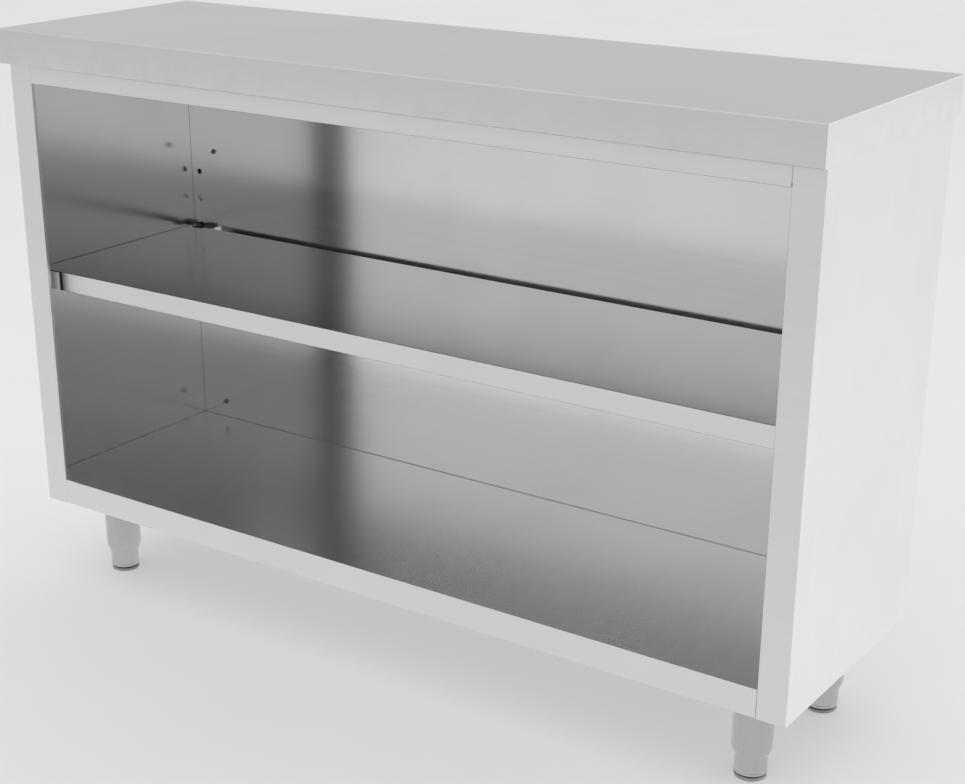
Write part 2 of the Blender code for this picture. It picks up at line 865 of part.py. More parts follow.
def make_sleeve(name, x, y):
    """The round leg tube, swaged down at its lower end to guide the foot."""
    throat_top = foot_visible_height + throat_height
    shoulder_top = throat_top + shoulder_height
    outer = shoulder(sleeve_radius, throat_bore + throat_wall, shoulder_top, throat_top)
    inner = shoulder(sleeve_bore, throat_bore, shoulder_top, throat_top)
    profile = [(sleeve_radius, sleeve_top_z)]
    profile += outer
    profile.append((throat_bore + throat_wall, foot_visible_height))
    profile.append((throat_bore, foot_visible_height))
    profile += list(reversed(inner))
    profile.append((sleeve_bore, sleeve_top_z))
    turned(f"leg_sleeve_{name}", profile, (x, y, 0), leg_steel, turned_steps)


def make_insert(name, x, y):
    """The threaded insert in the sleeve, which the foot's stem turns in."""
    top = insert_bottom_z + insert_height
    bore = stem_radius + seam_gap
    profile = [
        (leg_plug_radius, top),
        (leg_plug_radius, insert_bottom_z),
        (bore, insert_bottom_z),
        (bore, top),
    ]
    turned(f"leg_insert_{name}", profile, (x, y, 0), fixing_steel, turned_steps)


def make_foot(name, x, y):
    """The foot: a cup with a rounded lower edge and a threaded stem up its middle."""
    floor_top = foot_recess_z + foot_floor_thickness
    profile = [
        (0, stem_top_z),
        (stem_radius - stem_chamfer, stem_top_z),
        (stem_radius, stem_top_z - stem_chamfer),
        (stem_radius, floor_top),
        (foot_radius - foot_wall, floor_top),
        (foot_radius - foot_wall, foot_top_z),
        (foot_radius, foot_top_z),
    ]
    for step in range(foot_edge_steps + 1):
        angle = pi / 2 * step / foot_edge_steps
        radius = foot_radius - foot_edge_radius * (1 - cos(angle))
        profile.append((radius, foot_bottom_z + foot_edge_radius * (1 - sin(angle))))
    recess = pad_plug_radius + seam_gap
    profile.append((recess, foot_bottom_z))
    profile.append((recess, foot_recess_z))
    profile.append((0, foot_recess_z))
    turned(f"foot_{name}", profile, (x, y, 0), leg_steel, turned_steps)


def make_pad(name, x, y):
    """The base pad: a disc with a neck and a plug that seats in the foot."""
    neck_top = pad_height + pad_neck_height
    profile = [
        (0, neck_top + pad_plug_height),
        (pad_plug_radius, neck_top + pad_plug_height),
        (pad_plug_radius, neck_top),
        (pad_neck_radius, neck_top),
        (pad_neck_radius, pad_height),
        (pad_radius - pad_edge, pad_height),
        (pad_radius, pad_height - pad_edge),
        (pad_radius, pad_edge),
        (pad_radius - pad_edge, 0),
        (0, 0),
    ]
    turned(f"foot_pad_{name}", profile, (x, y, 0), pad_plastic, turned_steps)


def make_legs():
    """Four legs, each with its plate, sleeve, insert, foot and pad."""
    for name, x, y in leg_places():
        make_leg_plate(name, x, y)
        make_sleeve(name, x, y)
        make_insert(name, x, y)
        make_foot(name, x, y)
        make_pad(name, x, y)


make_worktop()
make_screws()
make_side_panels()
make_back_panel()
make_rivets()
make_rails()
make_uprights()
make_deck()
make_shelf()
make_shelf_supports()
make_bolts()
make_legs()
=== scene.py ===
"""Looks of the open stainless steel cabinet: folded sheets, legs, fixings, finishes, light and camera.

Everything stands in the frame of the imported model: metres, +Z up, and the open front faces -Y.
"""

import logging
from collections.abc import Iterable, Sequence
from dataclasses import dataclass
from enum import Enum
from math import pi, radians

import bpy
import numpy as np
from mathutils import Matrix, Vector
from numpy.typing import ArrayLike, NDArray


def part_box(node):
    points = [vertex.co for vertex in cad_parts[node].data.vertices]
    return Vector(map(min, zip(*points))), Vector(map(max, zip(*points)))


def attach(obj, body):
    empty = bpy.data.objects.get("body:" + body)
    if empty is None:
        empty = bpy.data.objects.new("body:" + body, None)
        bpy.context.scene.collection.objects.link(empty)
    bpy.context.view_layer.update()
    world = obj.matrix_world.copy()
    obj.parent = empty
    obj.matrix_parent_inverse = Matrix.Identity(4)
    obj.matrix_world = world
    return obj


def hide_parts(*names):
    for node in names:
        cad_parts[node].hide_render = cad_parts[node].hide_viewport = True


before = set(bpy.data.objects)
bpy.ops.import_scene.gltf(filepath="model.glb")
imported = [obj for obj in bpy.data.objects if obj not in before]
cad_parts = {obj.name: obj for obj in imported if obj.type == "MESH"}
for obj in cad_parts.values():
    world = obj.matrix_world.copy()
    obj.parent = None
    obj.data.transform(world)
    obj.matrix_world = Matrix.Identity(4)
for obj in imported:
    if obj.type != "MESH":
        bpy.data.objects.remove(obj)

Array = NDArray[np.float64]
Faces = NDArray[np.int64]
Mask = NDArray[np.bool_]
Pair = tuple[float, float]
Triple = tuple[float, float, float]
Outline = Sequence[Pair]
Mesh = bpy.types.Mesh
Outputs = bpy.types.NodeOutputs
Groups = dict[str, bpy.types.NodeTree]
log = logging.getLogger("cabinet")

MM = 0.001
WELD_GRID = 1e-6
WELD_OFFSET = 0.137
SLACK = 1e-6
HOLE_SIDES = 40
FIXING_SIDES = 48
ROUND_STEPS = 96
FOLD_STEPS = 6
SIDES = ((-1, "left"), (1, "right"))
ROWS = ("front", "rear")
RIM_SEGMENTS = 2
RIM_ANGLE = radians(50)
THROUGH = 4.0 * MM
HOLE_RADIUS = 4.5 * MM
HOLE_PITCH = 45.0 * MM
HOLE_TOP = 596.0 * MM
REAR_COLUMN = 17.5 * MM


class Grain(Enum):
    """The way in which a sheet is brushed; the largest share marks the grain's axis."""

    ALONG_X = (1.0, 0.0, 0.01)
    ALONG_Y = (0.0, 1.0, 0.01)
    ALONG_Z = (0.0, 0.01, 1.0)


class Run(Enum):
    """The axis along which a folded strip or a hole runs."""

    X = 0
    Y = 1
    Z = 2


def grid_of(x: ArrayLike, y: ArrayLike, z: ArrayLike) -> Array:
    """One grid of points (x, y, z), from coordinates that are broadcast to the grid's shape."""
    return np.stack(np.broadcast_arrays(x, y, z), axis=-1)


def round_grid(reach: Array, angle: Array, height: ArrayLike) -> Array:
    """A grid of points round Z: x = reach * cos a, y = reach * sin a, z = height."""
    return grid_of(reach * np.cos(angle), reach * np.sin(angle), height)


def turned_grid(profile: ArrayLike, steps: int = ROUND_STEPS) -> Array:
    """Turn a line of (radius, height), given as n x 2, round Z into a grid of n x (steps + 1) points."""
    line = np.asarray(profile)
    return round_grid(line[:, :1], np.linspace(0.0, 2 * pi, steps + 1), line[:, 1:])


def laid_along_y(grid: Array, place: ArrayLike, way: int) -> Array:
    """Lay a grid that stands on Z along Y, at a place: (x, y, z) becomes place + (x, way * z, y)."""
    return grid_of(grid[..., 0], way * grid[..., 2], grid[..., 1]) + np.asarray(place)


def arc(centre: Pair, radius: float, start: float, stop: float, steps: int) -> Array:
    """Points of a round arc: centre + radius * (cos a, sin a), with a spread evenly from start to stop."""
    angle = np.linspace(start, stop, steps + 1)
    return np.stack([centre[0] + radius * np.cos(angle), centre[1] + radius * np.sin(angle)], axis=1)


def thread(height: Array, angle: Array, pitch: float) -> Array:
    """Depth of a thread's groove, 1 in its root and 0 on its crest: |2 * frac(z / pitch - a / 360) - 1|."""
    return np.abs(2 * ((height / pitch - angle / (2 * pi)) % 1.0) - 1)


@dataclass
class Profile:
    """A folded line in a plane: its points, its outward directions, and 1 where it bends."""

    points: Array
    outward: Array
    bend: Array

    def with_stations(self, axis: int, values: Iterable[float]) -> "Profile":
        """Add a point wherever a straight run crosses one of the values.

        A point is added at p + (q - p) * t, where t is the value's share of the way from p to q.

        Args:
            axis: 0 or 1, the coordinate that is compared.
            values: The coordinates at which points are wanted.

        Returns:
            The profile with the added points.
        """
        points, outward, bend = self.points, self.outward, self.bend
        for value in values:
            before = points[:-1, axis] - value
            after = points[1:, axis] - value
            crossed = np.flatnonzero(before * after < -1e-14)
            share = (before[crossed] / (before[crossed] - after[crossed]))[:, None]
            added = points[crossed] + (points[crossed + 1] - points[crossed]) * share
            points = np.insert(points, crossed + 1, added, axis=0)
            outward = np.insert(outward, crossed + 1, outward[crossed], axis=0)
            bend = np.insert(bend, crossed + 1, 0.0)
        return Profile(points, outward, bend)


def folded_profile(corners: Outline, radius: float, side: int) -> Profile:
    """Round the inner corners of a folded line.

    At a corner where the line turns by an angle t, the arc starts radius * tan(|t| / 2) before the
    corner. Its points are centre - radius * r(s * t), where r turns the start's left-hand direction by a
    share s of the angle.

    Args:
        corners: The sharp corners of the line, its two ends included.
        radius: Radius of every fold.
        side: 1 where outward lies to the left of the line's direction, -1 to the right.

    Returns:
        The rounded line.
    """
    line = np.asarray(corners, float)
    runs = np.diff(line, axis=0)
    runs /= np.linalg.norm(runs, axis=1)[:, None]
    left = np.stack([-runs[:, 1], runs[:, 0]], axis=1)
    share = np.linspace(0.0, 1.0, FOLD_STEPS + 1)
    points, outward, bend = [line[:1]], [left[:1]], [np.zeros(1)]
    for index in range(1, len(line) - 1):
        before, after = runs[index - 1], runs[index]
        turn = np.arctan2(before[0] * after[1] - before[1] * after[0], before @ after)
        way = np.sign(turn)
        centre = line[index] - before * radius * np.tan(abs(turn) / 2) + way * left[index - 1] * radius
        angle = turn * share
        spin = np.stack([np.cos(angle), -np.sin(angle), np.sin(angle), np.cos(angle)], axis=1)
        facing = spin.reshape(-1, 2, 2) @ left[index - 1]
        points.append(centre - way * radius * facing)
        outward.append(facing)
        bend.append(np.sin(pi * share))
    points, outward, bend = [*points, line[-1:]], [*outward, left[-1:]], [*bend, np.zeros(1)]
    return Profile(np.concatenate(points), side * np.concatenate(outward), np.concatenate(bend))


def folded_grids(across: Profile, along: Profile) -> tuple[list[Array], list[Array]]:
    """Spread two folded lines over a grid of rows along Y and columns along X.

    Args:
        across: The folded line of (x, drop).
        along: The folded line of (y, drop).

    Returns:
        x, x drop, y and y drop at the grid's points, and the same four at the middles of its cells.
    """
    grids = np.broadcast_arrays(*across.points.T[:, None], *along.points.T[..., None])
    return grids, [(g[:-1, :-1] + g[1:, :-1] + g[:-1, 1:] + g[1:, 1:]) / 4 for g in grids]


@dataclass
class Shell:
    """Welded points with their faces, one material number for each face, and the bend at each point."""

    points: Array
    faces: list[Faces]
    slots: list[Faces]
    bend: Array

    def mesh(self, name: str) -> Mesh:
        """Put the shell into a new smooth-shaded mesh.

        Args:
            name: The mesh's name.

        Returns:
            The mesh.
        """
        mesh = bpy.data.meshes.new(name)
        mesh.from_pydata(self.points.tolist(), [], [row for group in self.faces for row in group.tolist()])
        mesh.polygons.foreach_set("material_index", np.concatenate(self.slots).astype(np.int32))
        mesh.polygons.foreach_set("use_smooth", np.ones(len(mesh.polygons), bool))
        folds = mesh.attributes.new("bend", "FLOAT", "POINT")
        folds.data.foreach_set("value", self.bend.astype(np.float32))
        mesh.update()
        return mesh


class Skin:
    """Patches of surface, each a grid of points, that are welded into one shell."""

    def __init__(self) -> None:
        """Start without patches."""
        self.patches: list[tuple[Array, Array, Array, Faces]] = []
        self.count = 0

    def patch(
        self, points: Array, outward: ArrayLike = 0.0, bend: ArrayLike = 0.0, keep: ArrayLike = True
    ) -> None:
        """Add a grid of points; its faces join neighbours in rows and columns.

        Args:
            points: Rows x columns x 3. The other values are broadcast to fit it.
            outward: Outward directions, needed for a sheet.
            bend: 1 on folds.
            keep: True for the cells that exist, (rows - 1) x (columns - 1).
        """
        rows, columns = points.shape[:2]
        index = self.count + np.arange(rows * columns).reshape(rows, columns)
        quads = np.stack([index[:-1, :-1], index[1:, :-1], index[1:, 1:], index[:-1, 1:]], axis=-1)
        outward = np.broadcast_to(outward, points.shape).reshape(-1, 3)
        bend = np.broadcast_to(bend, (rows, columns)).reshape(-1)
        kept = quads[np.broadcast_to(keep, quads.shape[:2])]
        self.patches.append((points.reshape(-1, 3), outward, bend, kept))
        self.count += rows * columns

    def weld(self) -> tuple[Array, Array, Array, Faces]:
        """Merge points that fall together and drop those that no face uses.

        Returns:
            Points, outward directions, bends and quads, where a quad may repeat a point.
        """
        points, outwards, bends, quads = (np.concatenate(part) for part in zip(*self.patches, strict=True))
        used, local = np.unique(quads, return_inverse=True)
        cells = np.round(points[used] / WELD_GRID + WELD_OFFSET).astype(np.int64)
        _, first, merged = np.unique(cells, axis=0, return_index=True, return_inverse=True)
        merged = merged.reshape(-1)
        outward = np.zeros((len(first), 3))
        np.add.at(outward, merged, outwards[used])
        outward /= np.maximum(np.linalg.norm(outward, axis=1), 1e-12)[:, None]
        bend = np.zeros(len(first))
        np.maximum.at(bend, merged, bends[used])
        return points[used][first], outward, bend, merged[local.reshape(-1)].reshape(-1, 4)

    @staticmethod
    def split(quads: Faces) -> list[Faces]:
        """Sort quads into real quads and the triangles left where a quad repeats a point.

        Args:
            quads: Rows of four point numbers.

        Returns:
            The quads and the triangles, where there are any.
        """
        same = quads == np.roll(quads, -1, axis=1)
        once = same.sum(axis=1) == 1
        threes = [np.delete(quads[same[:, corner] & once], corner, axis=1) for corner in range(4)]
        return [group for group in (quads[~same.any(axis=1)], np.concatenate(threes)) if len(group)]

    def sheet(self, thickness: float) -> Shell:
        """Give the surface a thickness: inner point = outer point - thickness * outward direction.

        Args:
            thickness: Thickness of the sheet, which grows inwards.

        Returns:
            A closed shell; faces outside and along the rims have slot 0, and faces inside slot 1.
        """
        points, outward, bend, quads = self.weld()
        corners = points[quads]
        facing = np.cross(corners[:, 2] - corners[:, 0], corners[:, 3] - corners[:, 1])
        wrong = (facing * outward[quads].sum(axis=1)).sum(axis=1) < 0
        quads[wrong] = quads[wrong][:, ::-1]
        outer = self.split(quads)
        count = len(points)
        inner = [group[:, ::-1] + count for group in outer]
        pairs = [np.stack([group, np.roll(group, -1, axis=1)], axis=-1).reshape(-1, 2) for group in outer]
        edges = np.concatenate(pairs)
        _, where, times = np.unique(np.sort(edges, axis=1), axis=0, return_inverse=True, return_counts=True)
        free = edges[times[where.reshape(-1)] == 1]
        rim = np.stack([free[:, 1], free[:, 0], free[:, 0] + count, free[:, 1] + count], axis=1)
        slots = [np.full(len(group), side) for side, groups in enumerate((outer, inner)) for group in groups]
        both = np.concatenate([points, points - thickness * outward])
        slots.append(np.zeros(len(rim), np.int64))
        return Shell(both, [*outer, *inner, rim], slots, np.concatenate([bend, bend]))

    def solid(self) -> Shell:
        """Close the patches into a solid that faces outwards, going by the sign of its volume.

        Returns:
            The closed shell.
        """
        points, _, bend, quads = self.weld()
        faces = self.split(quads)
        volume = 0.0
        for group in faces:
            first = points[group[:, 0]]
            for corner in range(1, group.shape[1] - 1):
                second, third = points[group[:, corner]], points[group[:, corner + 1]]
                volume += (first * np.cross(second, third)).sum()
        if volume < 0:
            faces = [group[:, ::-1] for group in faces]
        return Shell(points, faces, [np.zeros(len(group), np.int64) for group in faces], bend)


def solid_of(*grids: Array) -> Shell:
    """Weld grids of points into one closed shell.

    Args:
        *grids: Grids of points that close together.

    Returns:
        The closed shell.
    """
    skin = Skin()
    for grid in grids:
        skin.patch(grid)
    return skin.solid()


class Graph:
    """A short way to write a material's or a group's nodes."""

    def __init__(self, tree: bpy.types.NodeTree) -> None:
        """Write into one node tree."""
        self.tree = tree

    def node(self, kind: str, links: dict | None = None, **settings: object) -> bpy.types.Node:
        """Add a node.

        Args:
            kind: The node's type.
            links: Values or other nodes' outputs for its inputs, by name or number.
            **settings: The node's own settings.

        Returns:
            The node.
        """
        made = self.tree.nodes.new(kind)
        for key, value in settings.items():
            setattr(made, key, value)
        for key, value in (links or {}).items():
            socket = made.inputs[key]
            if isinstance(value, bpy.types.NodeSocket):
                self.tree.links.new(value, socket)
            else:
                socket.default_value = value
        return made

    def math(self, operation: str, first: object, second: object = 0.0, third: object = 0.0) -> object:
        """A math node's output."""
        return self.node("ShaderNodeMath", {0: first, 1: second, 2: third}, operation=operation).outputs[0]

    def total(self, start: object, *shares: tuple[object, float]) -> object:
        """The start with value * factor added, for each pair of a value and its factor.

        Args:
            start: The value to begin with.
            *shares: Pairs of a value and its factor.

        Returns:
            The sum.
        """
        for value, factor in shares:
            start = self.math("MULTIPLY_ADD", value, factor, start)
        return start

    def mapped(self, value: object, low: float, high: float, to_low: float, to_high: float) -> object:
        """A value moved smoothly and clamped from one range to another."""
        links = {"Value": value, "From Min": low, "From Max": high, "To Min": to_low, "To Max": to_high}
        return self.node("ShaderNodeMapRange", links, interpolation_type="SMOOTHSTEP").outputs["Result"]

    def noise(self, vector: object, scale: float, detail: float, roughness: float = 0.5) -> object:
        """A noise texture's value."""
        links = {"Vector": vector, "Scale": scale, "Detail": detail, "Roughness": roughness}
        return self.node("ShaderNodeTexNoise", links).outputs["Fac"]

    def scaled(self, colour: Triple, factor: object) -> object:
        """A colour times a value."""
        return self.node("ShaderNodeVectorMath", {0: colour, "Scale": factor}, operation="SCALE").outputs[0]

    def mixed(self, factor: object, first: object, second: object) -> object:
        """A mix of two colours."""
        links = {"Factor": factor, "A": first, "B": second}
        return self.node("ShaderNodeMix", links, data_type="RGBA").outputs["Result"]

    def from_group(self, tree: bpy.types.NodeTree, **given: object) -> Outputs:
        """The outputs of a shared group for the given inputs."""
        return self.node("ShaderNodeGroup", given, node_tree=tree).outputs


def node_group(name: str, values: Sequence[str], results: Sequence[str]) -> tuple[Graph, Outputs]:
    """Start a shader group that takes a vector and may take values.

    Args:
        name: The group's name.
        values: Names of the values that it takes beside the vector.
        results: Names of the values that it gives.

    Returns:
        The group's graph and what comes in.
    """
    tree = bpy.data.node_groups.new(name, "ShaderNodeTree")
    tree.interface.new_socket("Vector", in_out="INPUT", socket_type="NodeSocketVector")
    for way, labels in (("INPUT", values), ("OUTPUT", results)):
        for label in labels:
            tree.interface.new_socket(label, in_out=way, socket_type="NodeSocketFloat")
    graph = Graph(tree)
    return graph, graph.node("NodeGroupInput").outputs


def brushed_grain() -> bpy.types.NodeTree:
    """Long streaks of a brushed sheet: two noises on coordinates that are stretched along the grain.

    Returns:
        The group, which gives the streaks and the fine ones alone.
    """
    graph, given = node_group("brushed_grain", (), ("Streak", "Fine"))
    broad = graph.noise(given["Vector"], 0.35, 3.0, 0.6)
    fine = graph.noise(given["Vector"], 1.6, 2.0, 0.6)
    streak = graph.math("ADD", graph.math("MULTIPLY", broad, 0.6), graph.math("MULTIPLY", fine, 0.4))
    graph.node("NodeGroupOutput", {"Streak": streak, "Fine": fine})
    return graph.tree


def handling_marks() -> bpy.types.NodeTree:
    """Wiping smudges and short fine scratches.

    Returns:
        The group, which gives smudges and scratches.
    """
    graph, given = node_group("handling_marks", (), ("Smudge", "Scratch"))
    cloud = graph.noise(given["Vector"], 5.0, 4.0, 0.55)
    masks = []
    for angle in (0.5, -0.9):
        turn = (angle, angle * 0.7, angle)
        links = {"Vector": given["Vector"], "Rotation": turn, "Scale": (3.0, 260.0, 3.0)}
        turned = graph.node("ShaderNodeMapping", links).outputs[0]
        masks.append(graph.mapped(graph.noise(turned, 1.0, 1.0), 0.70, 0.78, 0.0, 1.0))
    scratch = graph.math("MAXIMUM", *masks)
    graph.node("NodeGroupOutput", {"Smudge": graph.mapped(cloud, 0.42, 0.70, 0.0, 1.0), "Scratch": scratch})
    return graph.tree


def fold_wear() -> bpy.types.NodeTree:
    """Wear along folds: the bend, broken up by noise.

    Returns:
        The group, which gives the wear.
    """
    graph, given = node_group("fold_wear", ("Bend",), ("Wear",))
    spots = graph.mapped(graph.noise(given["Vector"], 38.0, 3.0), 0.35, 0.62, 0.35, 1.0)
    graph.node("NodeGroupOutput", {"Wear": graph.math("MULTIPLY", given["Bend"], spots)})
    return graph.tree


@dataclass(frozen=True)
class Ground:
    """What a finish is painted on: a graph, the shared groups, the object's coordinates, worn folds."""

    graph: Graph
    groups: Groups
    place: object
    wear: object


@dataclass(frozen=True)
class Finish:
    """What every finish shares: name, colour and roughness, wear on folds, bump and the one shader."""

    name: str
    colour: Triple
    roughness: float

    def surface(self, on: Ground) -> tuple[dict, object]:
        """The shader's inputs and the height of the bump; every kind of finish has its own.

        Args:
            on: What the finish is painted on.

        Returns:
            The shader's inputs by name, and the height of the bump in metres.
        """
        raise NotImplementedError

    def material(self, groups: Groups) -> bpy.types.Material:
        """Build the material.

        Args:
            groups: The shared node groups by name.

        Returns:
            The material.
        """
        material = bpy.data.materials.new(self.name)
        material.use_nodes = True
        material.node_tree.nodes.clear()
        graph = Graph(material.node_tree)
        place = graph.node("ShaderNodeTexCoord").outputs["Object"]
        bend = graph.node("ShaderNodeAttribute", attribute_name="bend").outputs["Fac"]
        worn = graph.from_group(groups["fold_wear"], Vector=place, Bend=bend)
        inputs, height = self.surface(Ground(graph, groups, place, worn["Wear"]))
        inputs["Normal"] = graph.node("ShaderNodeBump", {"Height": height, "Distance": 1.0}).outputs[0]
        shader = graph.node("ShaderNodeBsdfPrincipled", inputs)
        graph.node("ShaderNodeOutputMaterial", {"Surface": shader.outputs[0]})
        return material


@dataclass(frozen=True)
class SteelFinish(Finish):
    """A brushed or ground steel surface."""

    anisotropy: float
    grain: Grain
    streak_share: float = 0.05
    smudge: float = 0.02
    scratch: float = 0.03
    wear: float = 0.10
    wave: float = 0.00015
    grain_depth: float = 0.0000015
    metallic: float = 1.0
    scale_along: float = 1.5
    scale_across: float = 900.0

    def surface(self, on: Ground) -> tuple[dict, object]:
        """Streaks along the grain, marks and worn folds; highlights are drawn out across the grain.

        Args:
            on: What the finish is painted on.

        Returns:
            The shader's inputs by name, and the height of the bump in metres.
        """
        graph = on.graph
        stretch = [self.scale_along if share == 1.0 else self.scale_across for share in self.grain.value]
        along = graph.node("ShaderNodeMapping", {"Vector": on.place, "Scale": stretch}).outputs[0]
        grain = graph.from_group(on.groups["brushed_grain"], Vector=along)
        marks = graph.from_group(on.groups["handling_marks"], Vector=on.place)
        scratch, smudge = marks["Scratch"], marks["Smudge"]
        streak = graph.math("SUBTRACT", grain["Streak"], 0.5)
        shares = (streak, 4.0 * self.streak_share), (scratch, self.scratch), (smudge, -self.smudge)
        lighter = graph.total(1.0, *shares, (on.wear, self.wear))
        rough = graph.total(self.roughness, (streak, 0.10), (smudge, self.smudge), (on.wear, 0.05))
        wave = graph.math("MULTIPLY", graph.noise(on.place, 4.0, 1.0), self.wave)
        facing = graph.node("ShaderNodeNewGeometry").outputs["Normal"]
        cross = {0: facing, 1: self.grain.value}
        inputs = {
            "Base Color": graph.scaled(self.colour, lighter),
            "Roughness": rough,
            "Metallic": self.metallic,
            "Anisotropic": self.anisotropy,
            "Tangent": graph.node("ShaderNodeVectorMath", cross, operation="CROSS_PRODUCT").outputs[0],
        }
        return inputs, graph.total(wave, (grain["Fine"], self.grain_depth))


@dataclass(frozen=True)
class MatteFinish(Finish):
    """A board or a moulded plastic: mottled colour, grained roughness and a fine bump."""

    light: Triple
    grain_scale: float
    bump: float

    def surface(self, on: Ground) -> tuple[dict, object]:
        """Chips and clouds between a dark and a light colour, lighter where it is worn.

        Args:
            on: What the finish is painted on.

        Returns:
            The shader's inputs by name, and the height of the bump in metres.
        """
        graph = on.graph
        chips = graph.noise(on.place, self.grain_scale, 4.0, 0.7)
        cloud = graph.noise(on.place, self.grain_scale / 12, 2.0)
        mix = graph.mapped(graph.total(chips, (cloud, 0.3)), 0.45, 0.85, 0.0, 1.0)
        colour = graph.mixed(graph.total(mix, (on.wear, 0.4)), (*self.colour, 1.0), (*self.light, 1.0))
        rough = graph.total(self.roughness, (chips, 0.15))
        return {"Base Color": colour, "Roughness": rough}, graph.math("MULTIPLY", chips, self.bump)


@dataclass(frozen=True)
class ZincFinish(Finish):
    """Galvanised or zinc-plated steel: crystal spangles change colour and roughness."""

    spangle_scale: float
    spangle_depth: float = 0.00001

    def surface(self, on: Ground) -> tuple[dict, object]:
        """Spangles with a tone each, clouds over them, and lighter folds.

        Args:
            on: What the finish is painted on.

        Returns:
            The shader's inputs by name, and the height of the bump in metres.
        """
        graph = on.graph
        cell = graph.node("ShaderNodeTexVoronoi", {"Vector": on.place, "Scale": self.spangle_scale})
        tone = graph.node("ShaderNodeSeparateColor", {"Color": cell.outputs["Color"]}).outputs["Red"]
        cloud = graph.noise(on.place, self.spangle_scale / 10, 3.0)
        lighter = graph.total(0.86, (tone, 0.16), (cloud, 0.12), (on.wear, 0.1))
        rough = graph.total(self.roughness, (tone, 0.14))
        inputs = {"Base Color": graph.scaled(self.colour, lighter), "Roughness": rough, "Metallic": 1.0}
        return inputs, graph.math("MULTIPLY", tone, self.spangle_depth)


# One stainless steel in lit and shaded copies: each colour is painted light or shade for how the light falls
# on the faces it goes on. The lit copies are painted lighter and the shaded copies darker.
TOP_SHADED_STEEL = SteelFinish("top_brushed_steel_painted_shade", (0.61, 0.61, 0.605), 0.34, 0.6, Grain.ALONG_X, 0.03)
END_LIT_STEEL = SteelFinish("worktop_end_steel_painted_light", (0.81, 0.81, 0.805), 0.42, 0.4, Grain.ALONG_Y, 0.015)
SIDE_LIT_STEEL = SteelFinish("side_brushed_steel_painted_light", (0.895, 0.895, 0.89), 0.42, 0.4, Grain.ALONG_Z, 0.015)
FRONT_SHADED_STEEL = SteelFinish("front_brushed_steel_painted_shade", (0.69, 0.69, 0.685), 0.34, 0.6, Grain.ALONG_X, 0.03)
LIP_SHADED_STEEL = SteelFinish("lip_brushed_steel_painted_shade", (0.71, 0.71, 0.705), 0.42, 0.0, Grain.ALONG_X, 0.03)
WALL_SHADED_STEEL = SteelFinish("inner_wall_steel_painted_shade", (0.67, 0.67, 0.66), 0.17, 0.2, Grain.ALONG_X, 0.02)
DECK_SHADED_STEEL = SteelFinish("deck_steel", (0.70, 0.70, 0.69), 0.23, 0.2, Grain.ALONG_X, 0.02)
SHELF_SHADED_STEEL = SteelFinish("shelf_steel", (0.63, 0.63, 0.62), 0.17, 0.2, Grain.ALONG_X, 0.02)
# The shelf's underside is painted light, so that the deck reflects it brighter.
UNDER_LIT_STEEL = SteelFinish("shelf_underside_steel", (0.95, 0.95, 0.94), 0.15, 0.0, Grain.ALONG_X, 0.01)
# The ledges' front and rear faces: non-metallic and painted light over the shade that the posts cast on them.
LEDGE_LIT_STEEL = SteelFinish(
    "ledge_steel_painted_light", (0.92, 0.92, 0.91), 0.52, 0.2, Grain.ALONG_X, 0.03, metallic=0.0
)
LEG_STEEL = SteelFinish("leg_tube_steel", (0.46, 0.45, 0.44), 0.26, 0.1, Grain.ALONG_Z)
ZINC = ZincFinish("galvanised_sheet", (0.52, 0.53, 0.54), 0.42, 90.0)
BOLT_ZINC = ZincFinish("zinc_plated_fixing", (0.55, 0.55, 0.56), 0.30, 900.0)
RIVET_STEEL = ZincFinish("rivet_steel", (0.24, 0.24, 0.25), 0.30, 900.0)
BLANK_STEEL = ZincFinish("hole_blank_steel", (0.44, 0.44, 0.44), 0.20, 900.0)
# Near-black sheet: painted shade on the ledges' faces that don't face front or rear, so that the slit beside
# the shelf looks dark.
PAINTED_SHADE_ZINC = ZincFinish("ledge_painted_shade_sheet", (0.10, 0.10, 0.11), 0.45, 90.0)
BOARD = MatteFinish("pressed_core_board", (0.30, 0.20, 0.11), 0.75, (0.50, 0.37, 0.23), 260.0, 0.0002)
PAD = MatteFinish("moulded_pad_plastic", (0.36, 0.36, 0.35), 0.50, (0.44, 0.44, 0.43), 900.0, 0.00002)
# Near-black: painted shade on the hole plugs, the ledge stops and the pads' necks, where open holes, the slit
# and the groove would be dark.
PAINTED_SHADE_RUBBER = MatteFinish("black_rubber_painted_shade", (0.012, 0.012, 0.012), 0.60, (0.03, 0.03, 0.03), 900.0, 0.00002)


class FinishBook:
    """Builds each finish once and hands it out."""

    def __init__(self) -> None:
        """Build the shared node groups."""
        self.groups = {tree.name: tree for tree in (brushed_grain(), handling_marks(), fold_wear())}
        self.made: dict[str, bpy.types.Material] = {}

    def get(self, finish: Finish) -> bpy.types.Material:
        """The material of a finish.

        Args:
            finish: The finish.

        Returns:
            Its material.
        """
        if finish.name not in self.made:
            self.made[finish.name] = finish.material(self.groups)
        return self.made[finish.name]


def span(node: str) -> tuple[Array, Array]:
    """Lowest and highest corner of a solid, as arrays."""
    low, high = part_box(node)
    return np.array(low), np.array(high)


def middle_of(node: str) -> Array:
    """Middle of a solid's box."""
    return sum(span(node)) / 2


